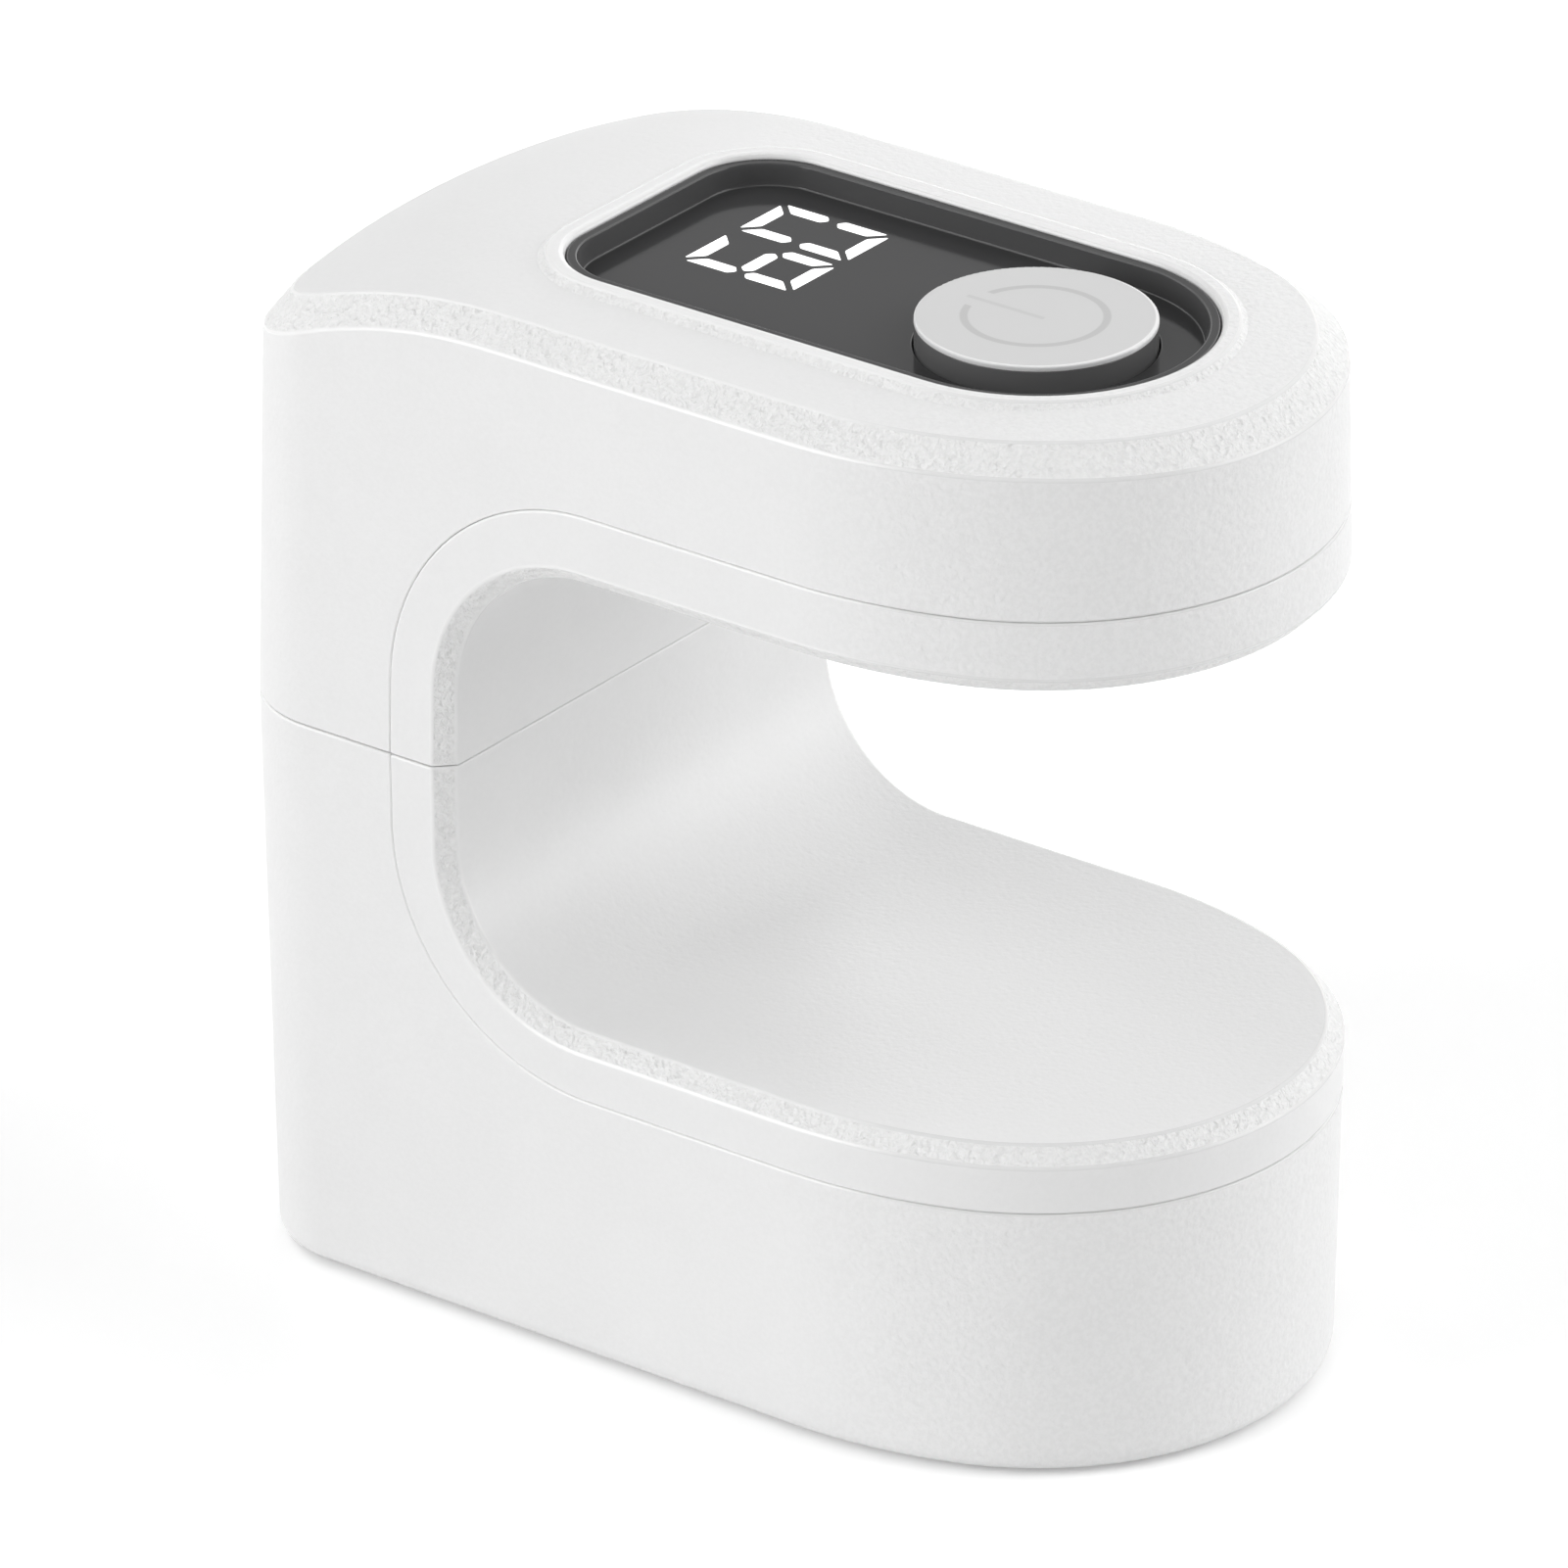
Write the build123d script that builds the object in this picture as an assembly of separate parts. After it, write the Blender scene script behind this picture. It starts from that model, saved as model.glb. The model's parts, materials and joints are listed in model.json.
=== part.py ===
from build123d import *
import math
import os

# Portable nail lamp: a C-shaped housing whose mouth opens to the front and to both sides.
# Millimetres, +Z up, the mouth faces -Y, the origin is on the ground below the middle of the housing.

# Outer form, with the outline taken at the mid seam, where the walls taper away both ways
WIDTH = 50.0
LENGTH = 85.0
HEIGHT = 86.0
MID_SEAM_LIFT = 0.25
DRAFT_UPPER = 1.4
DRAFT_LOWER = 1.0
NOSE_NARROWING = 1.0
NOSE_LENGTH = 29.5
BACK_CORNER_RADIUS = 9.0
BACK_BOW_RADIUS = 130.0
TOP_CHAMFER_WIDTH = 2.45
TOP_CHAMFER_DROP = 1.8
BOTTOM_FILLET = 1.5
WALL = 2.0

# Crowned top: a shallow arch across, a fall to the nose and a stronger fall to the rear
ARCH_RADIUS = 300.0
NOSE_FALL_LENGTH = 15.0
NOSE_FALL_RADIUS = 80.0
REAR_FALL_LENGTH = 27.0
REAR_FALL_MIDDLE_RADIUS = 65.0
REAR_FALL_SIDE_RADIUS = 47.5
CROWN_MARGIN = 5.0
CROWN_X_COUNT = 12
CROWN_Y_COUNT = 46

# Mouth between head and base, and the seam that runs round it
HEAD_THICKNESS = 20.1
BASE_TOP_Z = 28.2
COLUMN_DEPTH = 23.8
MOUTH_RADIUS = 12.3
MOUTH_CHAMFER = 1.4
SEAM_HEAD_BAND = 6.1
SEAM_BASE_BAND = 5.3
SEAM_SETBACK = 5.4
SEAM_RADIUS = 18.5
SEAM_GAP = 0.12
TONGUE_THICKNESS = 1.0
TONGUE_REACH = 2.0
TONGUE_CLEARANCE = 0.12
MID_TONGUE_MARGIN = 6.0

# Display window, a dished tray in the top of the head
WINDOW_RADIUS = 13.9
WINDOW_LENGTH = 51.1
WINDOW_BACK_RADIUS = 6.7
WINDOW_DEPTH = 2.0
WINDOW_FLOOR = 1.4
WINDOW_RIM = 0.8
WINDOW_RIM_DRAFT = 0.3
WINDOW_RIM_DROP = 0.2
WINDOW_CLEARANCE = 0.1
LEAD_IN_WIDTH = 0.3
LEAD_IN_DEPTH = 0.3
SURROUND_RISE = 0.2
SURROUND_WIDTH = 2.35
SURROUND_SLOPE = 0.95
SURROUND_DROP = 0.75
LEDGE_WIDTH = 2.2
LEDGE_THICKNESS = 1.4
WELL_WALL = 1.5
GASKET_THICKNESS = 0.3
GASKET_WIDTH = 1.6

# Push button, concentric with the window's round front end
BUTTON_SETBACK = 24.1
BUTTON_RADIUS = 9.2
BUTTON_PROUD = 0.25
BUTTON_TRAVEL = 0.5
BUTTON_CLEARANCE = 0.1
CAP_THICKNESS = 0.4
CAP_EDGE = 0.15
CAP_SPIGOT_RADIUS = 3.0
CAP_SPIGOT_CLEARANCE = 0.05
SKIRT_WALL = 1.4
SKIRT_WEB = 1.0
FLANGE_REACH = 1.1
FLANGE_THICKNESS = 0.9
FLANGE_GAP = 0.15
STEM_RADIUS = 2.0
SPOKE_COUNT = 4
SPOKE_THICKNESS = 0.8

# Control board under the window, hung from four posts of the roof
CONTROL_BOARD_THICKNESS = 1.2
CONTROL_BOARD_MARGIN = 5.5
CONTROL_BOARD_SETBACK = 12.5
CONTROL_BOARD_LENGTH = 47.0
CONTROL_BOARD_CORNER = 9.0
CONTROL_POST_INSET = 2.7
CONTROL_POST_FRONT_INSET = 18.0
CONTROL_POST_BACK_INSET = 5.0
CONTROL_POST_RADIUS = 2.4

# Tactile switch and three-digit display on the control board
SWITCH_SIZE = 6.2
SWITCH_HEIGHT = 3.5
PLUNGER_RADIUS = 1.7
PLUNGER_PROUD = 2.0
PLUNGER_SUNK = 0.9
PLUNGER_CLEARANCE = 0.08
PLUNGER_GAP = 0.05
DISPLAY_WIDTH = 21.6
DISPLAY_LENGTH = 14.0
DISPLAY_SETBACK = 25.3
DISPLAY_GAP = 0.3
DIGIT_COUNT = 3
DIGIT_PITCH = 7.05
DIGIT_HEIGHT = 10.2
DIGIT_WIDTH = 5.5
SEGMENT_THICKNESS = 1.1
SEGMENT_GAP = 0.3
SEGMENT_DEPTH = 0.4

# Ultraviolet light unit in the underside of the head
LIGHT_SETBACK = 30.5
LIGHT_OPENING_WIDTH = 24.0
LIGHT_OPENING_LENGTH = 38.0
LENS_MARGIN = 1.2
LENS_THICKNESS = 1.0
LENS_REBATE = 0.8
LENS_CLEARANCE = 0.15
REFLECTOR_THICKNESS = 2.6
REFLECTOR_CUP_RADIUS = 4.0
REFLECTOR_CUP_NECK = 2.6
LED_BOARD_THICKNESS = 1.0
LED_BOARD_MARGIN = 5.75
LED_BOARD_LENGTH = 40.0
LED_BOARD_CORNER = 9.0
LED_COLUMNS = 2
LED_ROWS = 4
LED_PITCH_X = 12.0
LED_PITCH_Y = 9.2
LED_SIZE = 3.5
LED_BASE = 0.7
LED_DOME_RADIUS = 1.4
LED_POST_INSET = 2.75
LED_POST_SPACING = 28.0
LED_POST_RADIUS = 2.3
LINK_SIZE_X = 9.0
LINK_SIZE_Y = 4.5
LINK_HEIGHT = 1.7
LINK_INSET = 5.5
LINK_MARGIN = 0.6

# Screws: shank radius, head radius and head height for the small and the larger size
SMALL_SHANK = 0.9
SMALL_HEAD = 1.75
SMALL_HEAD_HEIGHT = 1.0
LARGE_SHANK = 1.2
LARGE_HEAD = 2.2
LARGE_HEAD_HEIGHT = 1.6
SCREW_CLEARANCE = 0.2
THREAD_CLEARANCE = 0.03
DRIVE_DEPTH_SHARE = 0.55
SMALL_GRIP = 3.0
LARGE_GRIP = 10.0
PILOT_TIP = 1.0

# Screws that hold the liners, and the towers that join the two halves through the column
HEAD_SCREW_X = 9.0
HEAD_SCREW_SETBACK = 7.0
HEAD_POST_RADIUS = 2.6
HEAD_POST_GAP = 0.2
HEAD_COUNTERBORE = 1.5
TOWER_INSET_X = 8.5
TOWER_INSET_Y = 12.0
TOWER_RADIUS = 4.2
TOWER_BORE = 2.6
TOWER_SEAT = 2.0
TOWER_GAP = 0.3
BASE_SCREW_INSET_X = 10.5
BASE_SCREW_SETBACK = 20.5
BASE_BOSS_RADIUS = 4.0
BASE_SEAT_Z = 7.0
BASE_SEAT = 2.0
LINER_BOSS_RADIUS = 2.8

# Rubber feet in round recesses of the bottom, which cover the screw wells
FOOT_RADIUS = 4.6
FOOT_PROUD = 0.4
FOOT_RECESS = 1.0
FOOT_CLEARANCE = 0.15
FOOT_EDGE = 0.3

# Rechargeable cell lying along the base, in two cradle ribs under a strap
CELL_RADIUS = 9.1
CELL_SETBACK = 5.5
CELL_LIFT = 1.2
CELL_EDGE = 0.8
CELL_TERMINAL_RADIUS = 3.2
CELL_TERMINAL_HEIGHT = 0.9
CRADLE_INSET_FRONT = 7.0
CRADLE_INSET_BACK = 10.0
CRADLE_THICKNESS = 1.8
CRADLE_WIDTH = 24.0
CRADLE_HEIGHT = 6.4
CELL_CLEARANCE = 0.1
CRADLE_RUN_OUT = 1.0
STRAP_OFFSET = 33.0
STRAP_WIDTH = 11.0
STRAP_THICKNESS = 1.4
STRAP_SCREW_OFFSET = 5.3
STRAP_BOSS_RADIUS = 2.4
STRAP_BOSS_HEIGHT = 4.6
STRAP_FLANGE_MARGIN = 2.6

# Charging board standing behind the cell, with its socket through the rear wall
CHARGE_BOARD_MARGIN = 1.3
CHARGE_BOARD_HEIGHT = 24.0
CHARGE_BOARD_THICKNESS = 1.2
CHARGE_BOARD_INSET = 11.0
CHARGE_BOARD_BASE_Z = 5.0
CHARGE_POST_INSET = 2.8
CHARGE_POST_Z = 25.5
CHARGE_POST_RADIUS = 2.3
SHOE_INSET = 3.0
SHOE_WIDTH = 3.0
SHOE_WALL = 1.2
SHOE_GRIP = 2.0
SHOE_CLEARANCE = 0.1
PORT_Z = 11.0
PORT_WIDTH = 8.9
PORT_HEIGHT = 3.2
PORT_WALL = 0.3
PORT_SETBACK = 0.6
PORT_BACKING = 1.6
PORT_HOLE_CLEARANCE = 0.25
PORT_FLARE = 0.6
PORT_CORNER_SHARE = 0.49
TONGUE_PLATE_WIDTH = 6.7
TONGUE_PLATE_THICKNESS = 0.7
TONGUE_PLATE_SETBACK = 0.8

# Insulated leads inside the housing
LEAD_RADIUS = 0.7
LEAD_SPACING = 3.4
LEAD_EXIT_Z = 21.5
LEAD_RISER_INSET = 5.5
LEAD_TOP_DROP = 2.0
LEAD_BEND = 4.0
LEAD_EXIT_BEND = 1.9
LEAD_END_BEND = 1.2
LEAD_END_INSET = 1.1
CELL_LEAD_LENGTH = 3.5
CELL_LEAD_Z = 15.0
CELL_LEAD_SPACING = 6.0

# Positions that follow from the sizes above
REACH = 2 * LENGTH
SIDE_X = WIDTH / 2
START_Y = -LENGTH / 2
BACK_Y = LENGTH / 2
HEAD_UNDERSIDE_Z = HEIGHT - HEAD_THICKNESS
MID_SEAM_Z = (BASE_TOP_Z + HEAD_UNDERSIDE_Z) / 2 + MID_SEAM_LIFT
SEAM_UPPER_Z = HEAD_UNDERSIDE_Z + SEAM_HEAD_BAND
SEAM_LOWER_Z = BASE_TOP_Z - SEAM_BASE_BAND
NOSE_RADIUS = SIDE_X - NOSE_NARROWING
RIM_Z = BASE_TOP_Z - MOUTH_CHAMFER
RIM_DRAFT = (MID_SEAM_Z - RIM_Z) * math.tan(math.radians(DRAFT_LOWER))
FRONT_Y = START_Y - RIM_DRAFT
NOSE_Y = FRONT_Y + NOSE_RADIUS
MOUTH_BACK_Y = BACK_Y - COLUMN_DEPTH
SEAM_BACK_Y = MOUTH_BACK_Y + SEAM_SETBACK
BOTTOM_Z = FOOT_PROUD
FLOOR_Z = BOTTOM_Z + WALL
ROOF_Z = HEIGHT - WALL
HEAD_FLOOR_Z = HEAD_UNDERSIDE_Z + WALL
BASE_ROOF_Z = BASE_TOP_Z - WALL
WINDOW_FLOOR_Z = HEIGHT - WINDOW_DEPTH
WINDOW_UNDERSIDE_Z = WINDOW_FLOOR_Z - WINDOW_FLOOR
LEDGE_TOP_Z = WINDOW_UNDERSIDE_Z - GASKET_THICKNESS
LEDGE_BOTTOM_Z = LEDGE_TOP_Z - LEDGE_THICKNESS
SURROUND_TOP_Z = HEIGHT + SURROUND_RISE
BUTTON_TOP_Z = HEIGHT + BUTTON_PROUD
CAP_BOTTOM_Z = BUTTON_TOP_Z - CAP_THICKNESS
WEB_BOTTOM_Z = CAP_BOTTOM_Z - SKIRT_WEB
FLANGE_TOP_Z = WINDOW_UNDERSIDE_Z - FLANGE_GAP
FLANGE_BOTTOM_Z = FLANGE_TOP_Z - FLANGE_THICKNESS
LENS_BOTTOM_Z = HEAD_FLOOR_Z - LENS_REBATE
LENS_TOP_Z = LENS_BOTTOM_Z + LENS_THICKNESS
LED_BOARD_BOTTOM_Z = LENS_TOP_Z + REFLECTOR_THICKNESS
LED_BOARD_TOP_Z = LED_BOARD_BOTTOM_Z + LED_BOARD_THICKNESS
CONTROL_BOARD_BOTTOM_Z = LED_BOARD_TOP_Z + LINK_HEIGHT
CONTROL_BOARD_TOP_Z = CONTROL_BOARD_BOTTOM_Z + CONTROL_BOARD_THICKNESS
SWITCH_TOP_Z = CONTROL_BOARD_TOP_Z + SWITCH_HEIGHT
PLUNGER_TOP_Z = SWITCH_TOP_Z + PLUNGER_PROUD
PLUNGER_BOTTOM_Z = SWITCH_TOP_Z - PLUNGER_SUNK
DISPLAY_TOP_Z = WINDOW_UNDERSIDE_Z - DISPLAY_GAP
BUTTON_Y = START_Y + BUTTON_SETBACK
DISPLAY_Y = BUTTON_Y + DISPLAY_SETBACK
CONTROL_BOARD_WIDTH = WIDTH - 2 * CONTROL_BOARD_MARGIN
CONTROL_BOARD_FRONT = START_Y + CONTROL_BOARD_SETBACK
CONTROL_BOARD_BACK = CONTROL_BOARD_FRONT + CONTROL_BOARD_LENGTH
CONTROL_POST_X = CONTROL_BOARD_WIDTH / 2 - CONTROL_POST_INSET
CONTROL_POST_FRONT = CONTROL_BOARD_FRONT + CONTROL_POST_FRONT_INSET
CONTROL_POST_YS = (CONTROL_POST_FRONT, CONTROL_BOARD_BACK - CONTROL_POST_BACK_INSET)
LIGHT_Y = START_Y + LIGHT_SETBACK
LED_BOARD_WIDTH = WIDTH - 2 * LED_BOARD_MARGIN
LED_POST_X = LED_BOARD_WIDTH / 2 - LED_POST_INSET
LINK_Y = CONTROL_BOARD_BACK - LINK_INSET
LED_POST_YS = (LIGHT_Y - LED_POST_SPACING / 2, LIGHT_Y + LED_POST_SPACING / 2)
HEAD_SCREW_Y = START_Y + HEAD_SCREW_SETBACK
TOWER_X = SIDE_X - TOWER_INSET_X
TOWER_Y = BACK_Y - TOWER_INSET_Y
BASE_SCREW_X = SIDE_X - BASE_SCREW_INSET_X
BASE_SCREW_Y = START_Y + BASE_SCREW_SETBACK
CHARGE_BOARD_FRONT = BACK_Y - CHARGE_BOARD_INSET
CHARGE_BOARD_HALF = TOWER_X - TOWER_RADIUS - CHARGE_BOARD_MARGIN
CHARGE_POST_X = CHARGE_BOARD_HALF - CHARGE_POST_INSET
SHOE_X = CHARGE_BOARD_HALF - SHOE_INSET
CELL_Z = FLOOR_Z + CELL_LIFT + CELL_RADIUS
CELL_FRONT = START_Y + CELL_SETBACK
CELL_BACK = CHARGE_BOARD_FRONT - CELL_LEAD_LENGTH
CRADLE_YS = (CELL_FRONT + CRADLE_INSET_FRONT, CELL_BACK - CRADLE_INSET_BACK)
STRAP_Y = CELL_FRONT + STRAP_OFFSET
STRAP_SCREW_X = CELL_RADIUS + STRAP_SCREW_OFFSET
CHARGE_BOARD_BACK = CHARGE_BOARD_FRONT + CHARGE_BOARD_THICKNESS
FOOT_SEAT_Z = BOTTOM_Z + FOOT_RECESS
LEAD_RISER_Y = BACK_Y - LEAD_RISER_INSET
LEAD_TOP_Z = CONTROL_BOARD_BOTTOM_Z - LEAD_TOP_DROP
LEAD_END_Y = CONTROL_BOARD_BACK - LEAD_END_INSET
TOWER_TOP_Z = MID_SEAM_Z - TOWER_GAP
TOWER_SEAT_Z = TOWER_TOP_Z - TOWER_SEAT
UPPER_TOWER_Z = MID_SEAM_Z + TOWER_GAP
BASE_BOSS_TOP_Z = BASE_SEAT_Z + BASE_SEAT
HEAD_SEAT_Z = HEAD_UNDERSIDE_Z + HEAD_COUNTERBORE
HEAD_BOSS_TOP_Z = HEAD_FLOOR_Z + WALL


def mirrored_pairs(x, ys):
    """Points at plus and minus x for each y."""
    return [(side * x, y) for y in ys for side in (-1, 1)]


def box(x_range, y_range, z_range):
    """Axis-aligned block between the given limits."""
    spans = [high - low for low, high in (x_range, y_range, z_range)]
    middle = [(high + low) / 2 for low, high in (x_range, y_range, z_range)]
    return Pos(*middle) * Box(*spans)


def rod(x, y, low, high, radius):
    """Upright cylinder between two heights."""
    return Pos(x, y, (low + high) / 2) * Cylinder(radius, high - low)


def rod_along_y(x, z, front, back, radius):
    """Cylinder along Y between two positions."""
    return Pos(x, (front + back) / 2, z) * Rot(90, 0, 0) * Cylinder(radius, back - front)


def slab(sketch, low, high):
    """Sketch in plan, raised between two heights."""
    return extrude(Pos(0, 0, low) * sketch, amount=high - low)


def rounded_plate(width, length, corner, centre_y, low, high):
    """Plate with rounded corners, centred on the plane of symmetry."""
    return slab(Pos(0, centre_y) * RectangleRounded(width, length, corner), low, high)


def outline(inset):
    """Plan outline at the mid seam: a three-arc nose, straight sides and a slightly bowed back."""
    half = SIDE_X
    flank = ((NOSE_LENGTH - NOSE_RADIUS) ** 2 + half**2 - NOSE_RADIUS**2) / (2 * (half - NOSE_RADIUS))
    flank_x = half - flank
    flank_y = FRONT_Y + NOSE_LENGTH
    flank_turn = math.degrees(math.atan2(flank_y - NOSE_Y, -flank_x))
    corner_x = half - BACK_CORNER_RADIUS
    bow_y = BACK_Y - BACK_BOW_RADIUS
    corner_y = bow_y + math.sqrt((BACK_BOW_RADIUS - BACK_CORNER_RADIUS) ** 2 - corner_x**2)
    corner_turn = math.degrees(math.atan2(corner_y - bow_y, corner_x))
    side = half - inset
    corner = BACK_CORNER_RADIUS - inset
    edges = [
        CenterArc((0, NOSE_Y), NOSE_RADIUS - inset, 180 + flank_turn, 90 - flank_turn),
        CenterArc((0, NOSE_Y), NOSE_RADIUS - inset, 270, 90 - flank_turn),
        CenterArc((flank_x, flank_y), flank - inset, -flank_turn, flank_turn),
        Line((side, flank_y), (side, corner_y)),
        CenterArc((corner_x, corner_y), corner, 0, corner_turn),
        CenterArc((0, bow_y), BACK_BOW_RADIUS - inset, corner_turn, 90 - corner_turn),
        CenterArc((0, bow_y), BACK_BOW_RADIUS - inset, 90, 90 - corner_turn),
        CenterArc((-corner_x, corner_y), corner, 180 - corner_turn, corner_turn),
        Line((-side, corner_y), (-side, flank_y)),
        CenterArc((-flank_x, flank_y), flank - inset, 180, flank_turn),
    ]
    return make_face(edges)


def fall(radius, distance):
    """Drop of a circular arc at a distance from its highest point."""
    reach = min(max(distance, 0.0), 0.95 * radius)
    return radius - math.sqrt(radius**2 - reach**2)


def crown_z(x, y):
    """Height of the crowned top at a point in plan."""
    share = min(1.0, (x / SIDE_X) ** 2)
    rear_radius = REAR_FALL_MIDDLE_RADIUS + share * (REAR_FALL_SIDE_RADIUS - REAR_FALL_MIDDLE_RADIUS)
    rear = fall(rear_radius, y - BACK_Y + REAR_FALL_LENGTH)
    nose = fall(NOSE_FALL_RADIUS, START_Y + NOSE_FALL_LENGTH - y)
    return HEIGHT - fall(ARCH_RADIUS, abs(x)) - rear - nose


def crown_face():
    """Smooth face through the heights of the crowned top."""
    half_x = SIDE_X + CROWN_MARGIN
    half_y = LENGTH / 2 + CROWN_MARGIN
    xs = [half_x * (2 * step / CROWN_X_COUNT - 1) for step in range(CROWN_X_COUNT + 1)]
    ys = [half_y * (2 * step / CROWN_Y_COUNT - 1) for step in range(CROWN_Y_COUNT + 1)]
    points = [[(x, y, crown_z(x, y)) for y in ys] for x in xs]
    return Face.make_surface_from_array_of_points(points, tol=0.01, min_deg=3, max_deg=5)


CROWN = crown_face()


def upper_form(inset):
    """Upper half of the housing, drawn in by inset, under its crowned top."""
    plan = Pos(0, 0, MID_SEAM_Z) * outline(inset)
    form = extrude(plan, amount=HEIGHT + CROWN_MARGIN - MID_SEAM_Z, taper=DRAFT_UPPER)
    return form - extrude(Pos(0, 0, -inset) * CROWN, amount=HEIGHT, dir=(0, 0, 1))


def lower_form(inset):
    """Lower half of the housing, drawn in by inset."""
    plan = Pos(0, 0, MID_SEAM_Z) * outline(inset)
    form = extrude(plan, amount=MID_SEAM_Z - BOTTOM_Z - inset, taper=DRAFT_LOWER)
    return mirror(form, about=Plane.XY.offset(MID_SEAM_Z))


def mouth_profile(back, low, high, radius, grow):
    """Round-cornered C-profile across the full width, grown into the material by grow."""
    back, low, high, radius = back + grow, low - grow, high + grow, radius + grow
    edges = [
        Line((-REACH, high), (back - radius, high)),
        CenterArc((back - radius, high - radius), radius, 0, 90),
        Line((back, high - radius), (back, low + radius)),
        CenterArc((back - radius, low + radius), radius, 270, 90),
        Polyline((back - radius, low), (-REACH, low), (-REACH, high)),
    ]
    return extrude(Plane.YZ * make_face(edges), amount=WIDTH, both=True)


def mouth(grow=0.0):
    """The open mouth of the lamp."""
    return mouth_profile(MOUTH_BACK_Y, BASE_TOP_Z, HEAD_UNDERSIDE_Z, MOUTH_RADIUS, grow)


def seam(grow=0.0):
    """Everything on the liner's side of the seam that runs round the mouth."""
    return mouth_profile(SEAM_BACK_Y, SEAM_LOWER_Z, SEAM_UPPER_Z, SEAM_RADIUS, grow)


def half_space(upper, gap):
    """Slab above or below the mid seam, clear of it by half of the gap."""
    if upper:
        return box((-REACH, REACH), (-REACH, REACH), (MID_SEAM_Z + gap / 2, REACH))
    return box((-REACH, REACH), (-REACH, REACH), (-REACH, MID_SEAM_Z - gap / 2))


def liner_blank(form, upper):
    """Hollow liner of one half: its mouth wall, its lip and a tongue behind the seam."""
    blank = (form(0) & seam(-SEAM_GAP / 2) & half_space(upper, SEAM_GAP)) - mouth()
    blank = chamfer(mouth_rim(blank), MOUTH_CHAMFER)
    blank -= form(WALL) - mouth(WALL)
    deep = WALL + TONGUE_CLEARANCE + TONGUE_THICKNESS
    band = (seam(TONGUE_REACH) - seam(-TONGUE_REACH)) & half_space(upper, SEAM_GAP)
    tongue = (form(WALL) - form(deep)) & band
    tongue -= (form(WALL) - form(WALL + TONGUE_CLEARANCE)) - seam(-SEAM_GAP / 2)
    return blank + tongue


def mouth_rim(blank):
    """Edges where the mouth surface meets the outer walls."""
    inner = mouth()
    rim = []
    for edge in blank.edges():
        middle = edge.position_at(0.5)
        on_mouth = all(inner.distance_to(edge.position_at(t)) < 1e-4 for t in (0.05, 0.5, 0.95))
        at_mid_seam = abs(middle.Z - MID_SEAM_Z) < SEAM_GAP
        inside_width = abs(middle.X) < SIDE_X / 2 and middle.Y > NOSE_Y
        if on_mouth and not at_mid_seam and not inside_width:
            rim.append(edge)
    return rim


def window_plan(grow=0.0):
    """Plan of the display window: round front end concentric with the button, square back end."""
    radius = WINDOW_RADIUS + grow
    back = BUTTON_Y - WINDOW_RADIUS + WINDOW_LENGTH + grow
    corner = WINDOW_BACK_RADIUS + grow
    edges = [
        CenterArc((0, BUTTON_Y), radius, 180, 180),
        Line((radius, BUTTON_Y), (radius, back - corner)),
        CenterArc((radius - corner, back - corner), corner, 0, 90),
        Line((radius - corner, back), (corner - radius, back)),
        CenterArc((corner - radius, back - corner), corner, 90, 90),
        Line((-radius, back - corner), (-radius, BUTTON_Y)),
    ]
    return make_face(edges)


def screw(shank, head, head_height, length):
    """Pan-head screw pointing up, its head below the origin, with a cross recess."""
    body = Pos(0, 0, length / 2) * Cylinder(shank, length)
    body += Pos(0, 0, -head_height / 2) * Cylinder(head, head_height)
    body = chamfer(body.edges().sort_by(Axis.Z)[0], head_height / 4)
    depth = head_height * DRIVE_DEPTH_SHARE
    for turn in (0, 90):
        slot = Box(head * 1.1, head * 0.28, depth)
        body -= Pos(0, 0, depth / 2 - head_height) * Rot(0, 0, turn) * slot
    return body


def small_screw(length):
    """Small screw of the boards, the light unit and the strap."""
    return screw(SMALL_SHANK, SMALL_HEAD, SMALL_HEAD_HEIGHT, length)


def large_screw(length):
    """Larger screw that joins the housing parts."""
    return screw(LARGE_SHANK, LARGE_HEAD, LARGE_HEAD_HEIGHT, length)


def window_surround():
    """Slightly raised flat surround of the window, sloping down to the crowned top all round."""
    rise = slab(window_plan(SURROUND_WIDTH), HEIGHT - WALL / 2, SURROUND_TOP_Z)
    top = rise.faces().sort_by(Axis.Z)[-1]
    return chamfer(top.edges(), SURROUND_SLOPE, SURROUND_DROP, reference=top)


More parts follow.
